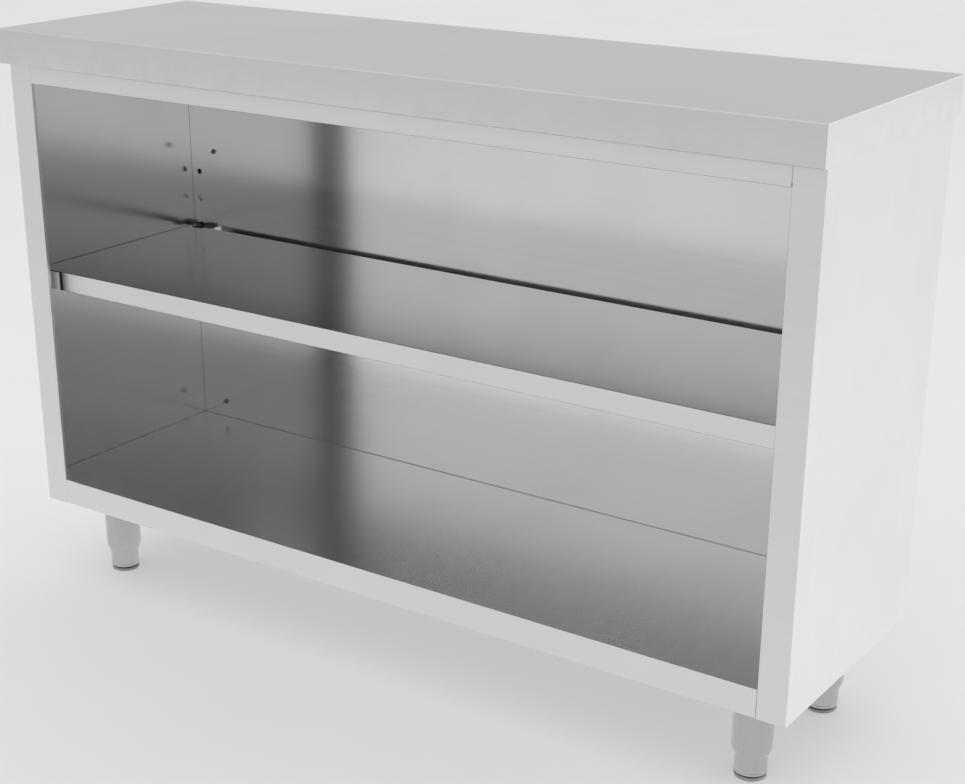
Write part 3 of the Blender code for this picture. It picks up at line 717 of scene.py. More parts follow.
@dataclass
class Assembly:
    """What every sub-assembly shares: the finishes and the way in which a piece is put in place."""

    book: FinishBook
    rim: float = 0.0

    def place(
        self,
        name: str,
        shape: Shell | Mesh,
        slot: str,
        finishes: Sequence[Finish],
        nodes: Sequence[str] = (),
        body: str = "cabinet",
        faces: int | None = None,
    ) -> None:
        """Put a shape in place as a finished piece; the raw edges of a solid's stand-in get the rim.

        Args:
            name: The piece's name.
            shape: Its shape, already in the cabinet's frame.
            slot: The record's material slot; not used.
            finishes: Finish of the outer faces, of the inner faces, and of those that are dressed apart,
                which carry painted light or shade.
            nodes: The solids that it stands for.
            body: The body that it rides on.
            faces: The axis across which outer faces are dressed apart with painted light or shade, if any
                are.
        """
        mesh = shape.mesh(name) if isinstance(shape, Shell) else shape
        # Outer faces that turn across the axis get the third finish: painted light or shade for that side.
        if faces is not None:
            dress(mesh, "normal", faces, np.cos(pi / 4), np.inf, 2)
        piece = bpy.data.objects.new(name, mesh)
        bpy.context.scene.collection.objects.link(piece)
        for finish in finishes:
            mesh.materials.append(self.book.get(finish))
        if self.rim and nodes:
            edge = piece.modifiers.new("rim", "BEVEL")
            edge.width = self.rim
            edge.segments = RIM_SEGMENTS
            edge.limit_method = "ANGLE"
            edge.angle_limit = RIM_ANGLE
        shade = piece.modifiers.new("shade", "WEIGHTED_NORMAL")
        shade.keep_sharp = True
        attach(piece, body)
        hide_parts(*nodes)
        log.info("%s rides on %s and stands for %s", name, body, ", ".join(nodes))


def dress(mesh: Mesh, kind: str, axis: int, low: float, high: float, slot: int) -> Mesh:
    """Give the outer faces whose normal or centre lies between two values their own slot.

    A face is taken where low < |value[axis]| < high and its slot is 0.

    Args:
        mesh: The mesh.
        kind: What is compared, "normal" or "center".
        axis: 0, 1 or 2.
        low: The lower value.
        high: The upper value.
        slot: The slot that the faces get.

    Returns:
        The same mesh.
    """
    count = len(mesh.polygons)
    values, slots = np.empty(count * 3, np.float32), np.empty(count, np.int32)
    mesh.polygons.foreach_get(kind, values)
    mesh.polygons.foreach_get("material_index", slots)
    size = np.abs(values.reshape(-1, 3)[:, axis])
    slots[(size > low) & (size < high) & (slots == 0)] = slot
    mesh.polygons.foreach_set("material_index", slots)
    return mesh


def drill(mesh: Mesh, places: Iterable[ArrayLike], radius: float, run: Run = Run.Y) -> Mesh:
    """Cut round holes through a mesh, with cutters turned from a line of radius 0, r, r, 0.

    Args:
        mesh: The mesh to be cut.
        places: The holes' centres.
        radius: The holes' radius.
        run: The axis along which they run, Y or Z.

    Returns:
        A new mesh with the holes.
    """
    rod = turned_grid([(0.0, -THROUGH), (radius, -THROUGH), (radius, THROUGH), (0.0, THROUGH)], HOLE_SIDES)
    rods = [laid_along_y(rod, place, 1) if run is Run.Y else rod + np.asarray(place) for place in places]
    holder = bpy.data.objects.new("drilled", mesh)
    tool = bpy.data.objects.new("drill", solid_of(*rods).mesh("drill"))
    for thing in (holder, tool):
        bpy.context.scene.collection.objects.link(thing)
    cut = holder.modifiers.new("holes", "BOOLEAN")
    cut.operation = "DIFFERENCE"
    cut.solver = "EXACT"
    cut.object = tool
    bpy.context.view_layer.update()
    seen = holder.evaluated_get(bpy.context.evaluated_depsgraph_get())
    drilled = bpy.data.meshes.new_from_object(seen)
    drilled.name = mesh.name
    for thing in (holder, tool):
        bpy.data.objects.remove(thing, do_unlink=True)
    return drilled


@dataclass
class SheetWork(Assembly):
    """What all folded sheet shares: a thickness, a fold radius and softened raw edges."""

    rim: float = 0.15 * MM
    sheet: float = 1.0 * MM
    fold_radius: float = 1.8 * MM

    def strip(self, corners: Outline, start: float, stop: float, run: Run = Run.X, side: int = 1) -> Shell:
        """Fold a sheet along parallel lines: the folded line's points, repeated at start and stop.

        Args:
            corners: The line's sharp corners, (y, z) where it runs along X and (x, y) along Z.
            start: Where it starts on its axis.
            stop: Where it stops.
            run: The axis along which it runs straight.
            side: 1 where outward lies to the left of the line's direction, -1 to the right.

        Returns:
            The closed sheet.
        """
        line = folded_profile(corners, self.fold_radius, side)
        ends = np.array([start, stop])
        flat, out = line.points.T[..., None], line.outward.T[..., None]
        skin = Skin()
        if run is Run.X:
            skin.patch(grid_of(ends, *flat), grid_of(0 * ends, *out), line.bend[:, None])
        else:
            skin.patch(grid_of(*flat, ends), grid_of(*out, 0 * ends), line.bend[:, None])
        return skin.sheet(self.sheet)

    def line(self, corners: Outline, *stations: float) -> Profile:
        """A folded line with points added at the stations along its first coordinate."""
        return folded_profile(corners, self.fold_radius, 1).with_stations(0, stations)

    def blank(self, across: Profile, along: Profile, level: float, x: Array, keep: Mask) -> Shell:
        """Fold down the flanges of a flat blank along X and along Y.

        A point is (x, y, level + both drops), so each cell folds about one axis only, and the corners
        are cut away.

        Args:
            across: The folded line of (x, drop).
            along: The folded line of (y, drop).
            level: Height of the flat part.
            x: The grid's x, drawn in where the blank is narrower.
            keep: True for the cells that the blank has.

        Returns:
            The closed sheet.
        """
        _, x_drop, y, y_drop = folded_grids(across, along)[0]
        x_out, x_up = across.outward.T[:, None]
        y_out, y_up = along.outward.T[..., None]
        bend = np.maximum(across.bend, along.bend[:, None])
        skin = Skin()
        skin.patch(grid_of(x, y, level + x_drop + y_drop), grid_of(x_out, y_out, x_up * y_up), bend, keep)
        return skin.sheet(self.sheet)


@dataclass
class Worktop(SheetWork):
    """The folded top and the board inside it."""

    sheet: float = 1.2 * MM
    fold_radius: float = 2.0 * MM
    front_return: float = 9.6 * MM
    rear_return: float = 7.2 * MM
    corner_wear: float = 0.6

    def fold(self, start: float, middle: float) -> Array:
        """A quarter fold: reach = r * sin f and z = middle + r * cos f.

        Args:
            start: Where f starts, 0 on top. It ends 90 degrees on.
            middle: Height of the fold's axis.

        Returns:
            Rows of reach, height, outward reach, outward height and bend.
        """
        angle = np.linspace(start, start + pi / 2, FOLD_STEPS + 1)
        out, up, bend = np.sin(angle), np.cos(angle), np.sin(2 * (angle - start))
        return np.stack([self.fold_radius * out, middle + self.fold_radius * up, out, up, bend], axis=1)

    def sweep(self, skin: Skin, section: Array, base: Sequence, way: Sequence) -> None:
        """Sweep a section over base points: base + reach * way.

        Args:
            skin: The skin that gets the patch.
            section: Rows of reach, height, outward reach, outward height and bend.
            base: x and y of the base points, broadcast to the patch.
            way: x and y of the direction out of the cabinet, broadcast likewise.
        """
        reach, height, out, up, bend = section.T[..., None]
        points = grid_of(base[0] + reach * way[0], base[1] + reach * way[1], height)
        skin.patch(points, grid_of(out * way[0], out * way[1], up), bend)

    def top(self) -> Shell:
        """The top with its edges: a fold and a wall at the sides and corners, two folds at front and rear.

        The front and rear edge have a return, whose ends are drawn in by its own depth.

        Returns:
            The closed shell.
        """
        low, high = span("worktop_shell")
        radius = self.fold_radius
        half_x, half_y = high[0] - radius, high[1] - radius - self.rim
        lower, ends = low[2] + radius, np.array([-1.0, 1.0])
        upper_fold, lower_fold = self.fold(0.0, high[2] - radius), self.fold(pi / 2, lower)
        skin = Skin()
        skin.patch(grid_of(half_x * ends, half_y * ends[:, None], high[2]), (0.0, 0.0, 1.0))
        wall = np.array([(radius, lower, 1.0, 0.0, 0.0), (radius, low[2], 1.0, 0.0, 0.0)])
        worn_wall = wall + (0.0, 0.0, 0.0, 0.0, self.corner_wear)
        for quarter, x, y in ((2, -1, -1), (3, 1, -1), (0, 1, 1), (1, -1, 1)):
            turn = np.linspace(quarter * pi / 2, (quarter + 1) * pi / 2, FOLD_STEPS + 1)
            section = np.concatenate([upper_fold, worn_wall])
            self.sweep(skin, section, (x * half_x, y * half_y), (np.cos(turn), np.sin(turn)))
        for way, depth in ((-1, self.front_return), (1, self.rear_return)):
            end = lower_fold[-1:] * (0.0, 0.0, 1.0, 1.0, 0.0) + (radius - depth, low[2], 0.0, 0.0, 0.0)
            section = np.concatenate([upper_fold, lower_fold, end])
            inset = np.where(np.arange(len(section)) < len(upper_fold), 0.0, radius - section[:, 0])
            self.sweep(skin, section, (ends * (half_x - inset[:, None]), way * half_y), (0.0, way))
        for side in (-1, 1):
            section = np.concatenate([upper_fold, wall])
            self.sweep(skin, section, (side * half_x, half_y * ends), (side, 0.0))
        return skin.sheet(self.sheet)

    def build(self) -> None:
        """Build and dress the worktop's pieces."""
        steels = [TOP_SHADED_STEEL, DECK_SHADED_STEEL, END_LIT_STEEL]
        self.place("worktop_top", self.top(), "worktop_steel", steels, ["worktop_shell"], faces=0)
        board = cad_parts["worktop_board"]
        board.data.materials.clear()
        board.data.materials.append(self.book.get(BOARD))


@dataclass
class Hats(SheetWork):
    """Hat sections: a crown between two flanges, swept along X."""

    sheet: float = 1.2 * MM
    fold_radius: float = 2.0 * MM
    flange: float = 15.0 * MM

    def shell(self, node: str) -> Shell:
        """A hat section that fills the box of its solid.

        Args:
            node: The solid.

        Returns:
            The closed shell.
        """
        low, high = span(node)
        rear, front = high[1] - self.flange, low[1] + self.flange
        crown, brim = low[2] + self.sheet, high[2]
        corners = [(low[1], brim), (front, brim), (front, crown)]
        corners += [(rear, crown), (rear, brim), (high[1], brim)]
        return self.strip(corners, low[0], high[0])

    def build(self) -> None:
        """Build the two under the worktop, the one under the deck and the one under the shelf."""
        for place in ("worktop_{}_front", "worktop_{}_rear", "deck_{}", "shelf_{}"):
            node = place.format("stiffener")
            body = "shelf" if place.startswith("shelf") else "cabinet"
            name, zincs = place.format("hat"), [ZINC, ZINC]
            self.place(name, self.shell(node), "galvanised_steel", zincs, [node], body)


@dataclass
class Fixings(Assembly):
    """Screws, bolts with nuts, and rivets: all worked out as radius and height over a turn."""

    hex_half: float = 6.06 * MM
    hex_chamfer: float = 0.4 * MM
    bolt_radius: float = 4.0 * MM
    head_height: float = 4.5 * MM
    nut_base: float = 1.5 * MM
    nut_height: float = 5.0 * MM
    thread_pitch: float = 1.25 * MM
    thread_depth: float = 0.6 * MM
    rivet_radius: float = 2.0 * MM
    rivet_head_radius: float = 4.2 * MM
    rivet_head_height: float = 1.4 * MM
    rivet_tail_radius: float = 3.4 * MM
    rivet_tail_height: float = 2.0 * MM
    mandrel_radius: float = 1.3 * MM
    mandrel_length: float = 5.5 * MM
    plug_radius: float = 4.4 * MM
    plug_inside: float = 185.9 * MM
    plug_dome: float = 0.4 * MM
    plug_rows: tuple[int, ...] = (0, 1, 2, 4, 5)
    blank_row: int = 1
    screw_head: float = 2.5 * MM
    screw_edge: float = 1.2 * MM
    screw_radius: float = 2.0 * MM
    screw_pitch: float = 1.4 * MM
    screw_depth: float = 0.5 * MM
    screw_sink: float = 0.5 * MM

    def hexagon(self, base: float, top: float) -> Array:
        """A hexagon with chamfered corners on both faces.

        The hexagon's radius is half / cos(a), where a is the angle from the middle of the nearest flat,
        and each ring takes the lesser of it and the chamfer's own radius.

        Args:
            base: Height of one face.
            top: Height of the other.

        Returns:
            A grid round Z.
        """
        angle = np.linspace(0.0, 2 * pi, ROUND_STEPS + 1)
        flat = self.hex_half / np.cos((angle + pi / 6) % (pi / 3) - pi / 6)
        chamfer = self.hex_chamfer * np.sign(top - base)
        full = self.hex_half / np.cos(pi / 6)
        caps = np.array([0.0, 0.95 * self.hex_half, 0.5 * (full + self.hex_half), full])
        radii = np.append(caps, caps[::-1])
        steps = np.array([0.0, 0.0, 0.3, 1.0]) * chamfer
        heights = np.append(top - steps, base + steps[::-1])
        return round_grid(np.minimum(radii[:, None], flat), angle, heights[:, None])

    def threaded(self, start: float, stop: float, radius: float, pitch: float, depth: float) -> Array:
        """A threaded rod: radius - depth * |2 * frac(z / pitch - a / 360) - 1|, fading out at both ends.

        Args:
            start: Height of one end.
            stop: Height of the other.
            radius: Outer radius.
            pitch: The thread's pitch.
            depth: The thread's depth.

        Returns:
            A grid round Z.
        """
        steps = max(int(abs(stop - start) / pitch * 8), 8)
        height = np.linspace(start, stop, steps + 1)[:, None]
        angle = np.linspace(0.0, 2 * pi, FIXING_SIDES + 1)
        ends = np.minimum(np.abs(height - start), np.abs(stop - height)) / pitch
        reach = radius - depth * thread(height, angle, pitch) * np.clip(ends * 4, 0.0, 1.0)
        reach = np.concatenate([0 * reach[:1], reach, 0 * reach[:1]])
        return round_grid(reach, angle, np.concatenate([height[:1], height, height[-1:]]))

    def bolt(self, node: str) -> Shell:
        """A bolt along Y with its nut; a front bolt's head looks to the rear, a rear bolt's to the front.

        Args:
            node: The solid.

        Returns:
            The closed shell.
        """
        low, high = span(node)
        middle = middle_of(node)
        way, under = (1, low[1]) if "front" in node else (-1, high[1])
        length = high[1] - low[1]
        tip = length - self.head_height
        grids = (
            self.hexagon(tip, length),
            self.hexagon(self.nut_base, self.nut_base + self.nut_height),
            self.threaded(0.0, tip + MM, self.bolt_radius, self.thread_pitch, self.thread_depth),
        )
        return solid_of(*(laid_along_y(grid, (middle[0], under, middle[2]), way) for grid in grids))

    def rivet(self, node: str) -> Shell:
        """A blind rivet: a domed head with the mandrel's stub on it, and a rounded tail behind.

        Args:
            node: The solid.

        Returns:
            The closed shell.
        """
        low, high = span(node)
        middle = middle_of(node)
        length = high[1] - low[1]
        head = arc((0.0, 0.0), 1.0, pi / 2, 0.0, 10) * (self.rivet_head_radius, self.rivet_head_height)
        head[:, 1] += length - self.rivet_head_height
        tail = arc((0.0, 0.0), 1.0, 0.0, -pi / 2, 8) * (self.rivet_tail_radius, self.rivet_tail_height)
        tail[:, 1] += self.rivet_tail_height
        stub, tip = self.mandrel_radius, length + self.mandrel_length
        head = head[head[:, 0] > stub * 1.5]
        crown = [(0.0, tip), (stub * 0.6, tip), (stub * 0.8, tip - 0.9 * MM), (stub, tip - 1.2 * MM)]
        root = [(stub, length - 0.3 * MM), (stub * 1.2, length - 0.35 * MM)]
        waist = [(self.rivet_radius, head[-1, 1]), (self.rivet_radius, tail[0, 1])]
        grid = turned_grid(np.concatenate([crown, root, head, waist, tail]), FIXING_SIDES)
        return solid_of(laid_along_y(grid, (middle[0], high[1], middle[2]), -1))

    def plug(self, place: Triple, length: float) -> Shell:
        """A press-in plug: each end's dome stands dome * (1 - (r / radius)^2) proud at the radius r.

        Args:
            place: Middle of its outer end.
            length: Length along Y.

        Returns:
            The closed shell.
        """
        reach = np.linspace(0.0, self.plug_radius, 7)
        dome = self.plug_dome * (1 - (reach / self.plug_radius) ** 2)
        inner = np.stack([reach, length - self.plug_dome + dome], axis=1)
        outer = np.stack([reach, self.plug_dome - dome], axis=1)[::-1]
        return solid_of(laid_along_y(turned_grid(np.concatenate([inner, outer]), FIXING_SIDES), place, -1))

    def screw(self, node: str) -> Shell:
        """A pan-head screw along Z with its tip up, a thread and a round drive recess.

        Args:
            node: The solid.

        Returns:
            The closed shell.
        """
        low, high = span(node)
        middle = middle_of(node) * (1.0, 1.0, 0.0)
        head_top, reach, edge = low[2] + self.screw_head, high[0] - middle[0], self.screw_edge
        rounding = arc((reach - edge, low[2] + edge), edge, -pi / 2, 0.0, 6)
        recess = [(0.0, low[2] + 1.4 * MM), (1.3 * MM, low[2] + 1.2 * MM), (1.6 * MM, low[2])]
        line = np.concatenate([recess, rounding, [(reach, head_top), (0.0, head_top)]])
        start = head_top - self.screw_sink
        rod = self.threaded(start, high[2], self.screw_radius, self.screw_pitch, self.screw_depth)[::-1]
        taper = np.clip((high[2] - rod[..., 2]) / self.screw_radius, 0.0, 1.0)
        rod = grid_of(rod[..., 0] * taper, rod[..., 1] * taper, rod[..., 2])
        return solid_of(turned_grid(line, FIXING_SIDES) + middle, rod + middle)

    def build(self) -> None:
        """Build every screw, bolt and rivet at its solid's place, then plug the free holes at the rear: black
        plugs, painted shade for open holes, and one row of steel blanks.
        """
        kinds = (
            ("worktop_screw", "top_screw", self.screw, BOLT_ZINC),
            ("shelf_bolt", "support_bolt", self.bolt, BOLT_ZINC),
            ("back_rivet", "rivet", self.rivet, RIVET_STEEL),
        )
        for node in sorted(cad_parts):
            for stem, label, shape, finish in kinds:
                if node.startswith(stem):
                    self.place(node.replace(stem, label), shape(node), "fixing_steel", [finish], [node])
        flange = span("side_panel_left")[1][1]
        column = span("side_panel_right")[1][0] - REAR_COLUMN
        for side, name in SIDES:
            for row in self.plug_rows:
                place = (side * column, flange, HOLE_TOP - row * HOLE_PITCH)
                plug = self.plug(place, flange - self.plug_inside)
                # Black plugs are painted shade that stands for the dark of open holes; one row gets a steel
                # blank instead.
                blank = row == self.blank_row
                slot, finish = ("fixing_steel", BLANK_STEEL) if blank else ("pad_plastic", PAINTED_SHADE_RUBBER)
                self.place(f"hole_plug_{name}_{row + 1}", plug, slot, [finish])


@dataclass
class Body(SheetWork):
    """Side panels with their posts, back panel, rails, uprights and bottom deck."""

    post_width: float = 41.5 * MM
    post_return: float = 6.0 * MM
    back_flange: float = 14.0 * MM
    header_lower: float = 20.0 * MM
    hole_count: int = 6
    fixing_hole: float = 2.3 * MM
    relief: float = 3.0 * MM
    notch_gap: float = 0.3 * MM
    deck_edge: float = 40.0 * MM
    deck_return: float = 15.0 * MM
    deck_flange: float = 30.0 * MM
    weld_radius: float = 0.9 * MM
    weld_below_top: float = 0.05 * MM
    weld_from_edge: float = 0.2 * MM

    def column(self, x: float, y: float) -> list[Triple]:
        """Centres of one column of holes, from the top down."""
        return [(x, y, HOLE_TOP - index * HOLE_PITCH) for index in range(self.hole_count)]

    def rivets(self, y: float, *sides: str) -> list[Triple]:
        """Centres of the rivets on the named sides, on a wall at y.

        Args:
            y: Where the wall stands.
            *sides: Names of the sides.

        Returns:
            The centres in order.
        """
        nodes = [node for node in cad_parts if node.startswith("back_rivet")]
        middles = [middle_of(node) for node in nodes if any(side in node for side in sides)]
        return sorted((middle[0], y, middle[2]) for middle in middles)

    def screws(self, row: str, z: float) -> list[Triple]:
        """Centres of one rail's screws, on a flange at height z."""
        middles = [middle_of(f"worktop_screw_{row}_{side}") for _, side in SIDES]
        return [(middle[0], middle[1], z) for middle in middles]

    def side_panel(self, side: int, name: str) -> Mesh:
        """One sheet: post return, post, wall and rear flange, with holes in the rear flange.

        Args:
            side: -1 on the left and 1 on the right.
            name: The side's name.

        Returns:
            The drilled mesh.
        """
        low, high = span(f"side_panel_{name}")
        outer, inner_flange = (high[0], low[0]) if side > 0 else (low[0], high[0])
        post = outer - side * self.post_width
        corners = [(post, low[1] + self.post_return), (post, low[1]), (outer, low[1])]
        corners += [(outer, high[1]), (inner_flange, high[1])]
        mesh = self.strip(corners, low[2], high[2], Run.Z, -side).mesh(f"side_{name}")
        mesh = drill(mesh, self.column(outer - side * REAR_COLUMN, high[1]), HOLE_RADIUS)
        return drill(mesh, self.rivets(high[1], name), self.fixing_hole)

    def back(self) -> Mesh:
        """The back panel with a flange along its foot, two columns of holes and the rivets' holes.

        Returns:
            The drilled mesh.
        """
        low, high = span("back_panel")
        corners = [(high[1], high[2]), (high[1], low[2]), (high[1] - self.back_flange, low[2])]
        mesh = self.strip(corners, low[0], high[0]).mesh("back_sheet")
        outer = span("side_panel_right")[1][0] - REAR_COLUMN
        mesh = drill(mesh, self.column(-outer, high[1]) + self.column(outer, high[1]), HOLE_RADIUS)
        return drill(mesh, self.rivets(high[1], "left", "right"), self.fixing_hole)

    def header(self) -> Mesh:
        """The header rail, folded back below and above.

        Returns:
            The drilled mesh.
        """
        low, high = span("header_rail")
        corners = [(low[1] + self.header_lower, low[2]), (low[1], low[2])]
        corners += [(low[1], high[2]), (high[1], high[2])]
        mesh = self.strip(corners, low[0], high[0]).mesh("header")
        return drill(mesh, self.screws("front", high[2]), self.fixing_hole, Run.Z)

    def rear_rail(self) -> Mesh:
        """The angle along the top of the back panel.

        Returns:
            The drilled mesh.
        """
        low, high = span("rear_rail")
        corners = [(low[1], high[2]), (high[1], high[2]), (high[1], low[2])]
        mesh = self.strip(corners, low[0], high[0]).mesh("rear_angle")
        return drill(mesh, self.screws("rear", high[2]), self.fixing_hole, Run.Z)

    def upright(self, side: int, name: str) -> Mesh:
        """A channel in the corner behind a post, with holes in its rear leg.

        Args:
            side: -1 on the left and 1 on the right.
            name: The side's name.

        Returns:
            The drilled mesh.
        """
        low, high = span(f"upright_channel_{name}")
        wall, web = (high[0], low[0]) if side > 0 else (low[0], high[0])
        corners = [(wall, low[1]), (web, low[1]), (web, high[1]), (wall, high[1])]
        mesh = self.strip(corners, low[2], high[2], Run.Z, side).mesh(f"corner_channel_{name}")
        return drill(mesh, self.column(middle_of(f"shelf_bolt_front_{name}")[0], high[1]), HOLE_RADIUS)

    def deck(self) -> Shell:
        """The bottom deck: a tray whose deep front edge stands between the posts.

        It is narrow at the front and cut back at the corners, and its return is drawn in by its depth.

        Returns:
            The closed shell.
        """
        (_, front, _), (full, rear, level) = span("bottom_deck")
        half, wide = span("header_rail")[1][0], full - self.relief
        notch = front + self.post_return + self.notch_gap
        edge, drop = -self.deck_edge, -self.deck_flange
        sides = [(-full, drop), (-full, 0.0), (full, 0.0), (full, drop)]
        across = self.line(sides, -wide, -half, half, wide)
        corners = [(front + self.deck_return, edge), (front, edge), (front, 0.0), (rear, 0.0), (rear, drop)]
        along = self.line(corners, notch, notch + self.relief, rear - self.relief)
        (x, _, y, y_drop), (cell_x, _, cell_y, cell_drop) = folded_grids(across, along)
        narrow = (cell_y < notch) | ((cell_drop < 0) & (cell_y < 0))
        corner = (cell_y < notch + self.relief) | (cell_y > rear - self.relief)
        keep = np.abs(cell_x) < np.where(narrow, half, np.where(corner, wide, 2 * full))
        inset = np.where((y_drop < self.fold_radius + edge) & (y < 0), y - front, 0.0)
        return self.blank(across, along, level, x * (half - inset) / half, keep)

    def weld(self) -> Shell:
        """The ground weld in the crease behind the deck: rings round a line along X.

        A ring's point is middle + share * radius * (cos a, sin a); the share falls to 0 at both ends.

        Returns:
            The closed shell.
        """
        high = span("bottom_deck")[1]
        reach = high[0] - self.relief
        y, z = high[1] - self.weld_from_edge, high[2] - self.weld_radius - self.weld_below_top
        ring = arc((0.0, 0.0), self.weld_radius, 0.0, 2 * pi, 24)
        stations = np.array([-reach, -reach, -reach + MM, reach - MM, reach, reach])[:, None]
        share = np.array([0.0, 0.7, 1.0, 1.0, 0.7, 0.0])[:, None]
        return solid_of(grid_of(stations, y + share * ring[:, 0], z + share * ring[:, 1]))

    def build(self) -> None:
        """Build and dress the body's sheets."""
        sides, walls = [SIDE_LIT_STEEL, WALL_SHADED_STEEL, FRONT_SHADED_STEEL], [WALL_SHADED_STEEL, WALL_SHADED_STEEL]
        for side, name in SIDES:
            panel, channel = self.side_panel(side, name), self.upright(side, name)
            self.place(f"side_{name}", panel, "body_steel", sides, [f"side_panel_{name}"], faces=1)
            nodes = [f"upright_channel_{name}"]
            self.place(f"corner_channel_{name}", channel, "galvanised_steel", [ZINC, ZINC], nodes)
        self.place("back_sheet", self.back(), "inner_steel", walls, ["back_panel"])
        self.place("header", self.header(), "body_steel", [FRONT_SHADED_STEEL, DECK_SHADED_STEEL], ["header_rail"])
        self.place("rear_angle", self.rear_rail(), "inner_steel", walls, ["rear_rail"])
        decks = [DECK_SHADED_STEEL, DECK_SHADED_STEEL, FRONT_SHADED_STEEL]
        self.place("deck", self.deck(), "inner_steel", decks, ["bottom_deck"], faces=1)
        self.place("deck_weld", self.weld(), "inner_steel", [WALL_SHADED_STEEL])


@dataclass
class ShelfUnit(SheetWork):
    """The lift-off shelf and the two ledges that carry it."""

    lip_height: float = 29.5 * MM
    lip_return: float = 10.0 * MM
    slit: float = 6.5 * MM
    notch_width: float = 22.0 * MM
    notch_depth: float = 9.0 * MM
    notch_middle: float = 623.0 * MM
    relief: float = 3.0 * MM
    ledge_drop: float = 28.2 * MM
    front_lug: float = 15.2 * MM
    rear_lug: float = 27.0 * MM
    lug_corner: float = 4.0 * MM
    stop_width: float = 2.8 * MM
    stop_length: float = 14.0 * MM
    stop_grip: float = 0.3 * MM
    stop_below_top: float = 0.3 * MM
    stop_set_back: float = 0.5 * MM
    stop_soft: float = 0.4 * MM
    stop_power: float = 0.3

    def shelf(self) -> Shell:
        """The shelf plate with its two lips, and with notches at the rear.

        The lips are shorter than the plate, and their returns are drawn in at the ends by their depth.

        Returns:
            The closed shell.
        """
        (_, front, _), (half, rear, level) = span("shelf")
        lip_half = span("shelf_support_right")[0][0] - self.slit
        front_step, rear_step = front + self.fold_radius, rear - self.fold_radius
        notch_end = rear_step - self.notch_depth
        notch = (self.notch_middle - self.notch_width / 2, self.notch_middle + self.notch_width / 2)
        across = self.line([(-half, 0.0), (half, 0.0)], -notch[1], -notch[0], -lip_half, lip_half, *notch)
        lip, depth = -self.lip_height, self.lip_return
        corners = [(front + depth, lip), (front, lip), (front, 0.0)]
        corners += [(rear, 0.0), (rear, lip), (rear - depth, lip)]
        along = self.line(corners, notch_end)
        (x, _, y, y_drop), (cell_x, _, cell_y, cell_drop) = folded_grids(across, along)
        reach = np.abs(cell_x)
        on_lip = (cell_y < front_step) | (cell_y > rear_step) | (cell_drop < -self.fold_radius)
        notched = (reach > notch[0]) & (reach < notch[1]) & (cell_y > notch_end)
        keep = np.where(on_lip, reach < lip_half, ~notched)
        inset = np.where(y_drop < self.fold_radius + lip, np.minimum(y - front, rear - y), 0.0)
        return self.blank(across, along, level, x * (lip_half - inset) / lip_half, keep)

    def ledge(self, side: int, name: str) -> Mesh:
        """A ledge with a flange along the wall and a rounded lug with its hole at each end.

        It has its full width above and only the lugs below. A lug's lower corners are rounded by
        inset = r - sqrt(r * r - (r - h)^2) at the height h.

        Args:
            side: -1 on the left and 1 on the right.
            name: The side's name.

        Returns:
            The drilled mesh.
        """
        low, high = span(f"shelf_support_{name}")
        front, rear, drop, radius = low[1], high[1], high[2] - low[2], self.lug_corner
        edge, wall = sorted((abs(low[0]), abs(high[0])))
        outer, front_lug, rear_lug = wall - self.relief, wall - self.front_lug, wall - self.rear_lug
        corners = [(side * edge, 0.0), (side * wall, 0.0), (side * wall, -self.ledge_drop)][::side]
        across = self.line(corners, side * outer, side * front_lug, side * rear_lug)
        corners = [(front, -drop), (front, 0.0), (rear, 0.0), (rear, -drop)]
        rounding = radius * (1 - np.cos(np.linspace(0.0, pi / 2, 7)[1:]))
        along = self.line(corners, front + self.relief, rear - self.relief)
        along = along.with_stations(1, [-self.ledge_drop, *(rounding - drop)])
        (x, _, y, y_drop), (cell_x, _, cell_y, cell_drop) = folded_grids(across, along)
        reach = np.abs(cell_x)
        end = (cell_y < front + self.relief) | (cell_y > rear - self.relief)
        lug = (cell_drop > -self.ledge_drop) | (reach > np.where(cell_y < 0, front_lug, rear_lug))
        rise = np.clip(y_drop + drop, 0.0, radius)
        inset = radius - np.sqrt(np.maximum(radius**2 - (radius - rise) ** 2, 0.0))
        inner = np.where(y < 0, front_lug, rear_lug)
        share = (np.abs(x) - inner) / (outer - inner)
        moved = side * (inner + inset + share * (outer - inner - 2 * inset))
        x = np.where((share > -SLACK) & (share < 1 + SLACK), moved, x)
        shell = self.blank(across, along, high[2], x, ~end | (reach < outer) & lug)
        bolts = [middle_of(f"shelf_bolt_{row}_{name}") for row in ROWS]
        places = [(bolt[0], y, bolt[2]) for bolt, y in zip(bolts, (front, rear), strict=True)]
        return drill(shell.mesh(f"ledge_{name}"), places, HOLE_RADIUS)

    def stop(self, side: int, name: str) -> Shell:
        """The black stop on the ledge's raw front edge, painted shade for the slit: rings of a rounded oblong
        along Y.

        A ring's point is middle + half * sign(c) * |c|^0.3, with c the cosine for x and the sine for z.

        Args:
            side: -1 on the left and 1 on the right.
            name: The side's name.

        Returns:
            The closed shell.
        """
        low, high = span(f"shelf_support_{name}")
        edge = min(abs(low[0]), abs(high[0]))
        half = np.array([self.stop_width, self.ledge_drop]) / 2
        x, z = side * (edge - half[0] + self.stop_grip), high[2] - self.stop_below_top - half[1]
        unit = arc((0.0, 0.0), 1.0, 0.0, 2 * pi, FIXING_SIDES)
        oblong = half * np.sign(unit) * np.abs(unit) ** self.stop_power
        share = np.array([0.0, 0.9, 1.0, 1.0, 0.9, 0.0])[:, None]
        front = low[1] + self.stop_set_back
        rear = front + self.stop_length
        y = np.array([front, front, front + self.stop_soft, rear - self.stop_soft, rear, rear])[:, None]
        return solid_of(grid_of(x + share * oblong[:, 0], y, z + share * oblong[:, 1]))

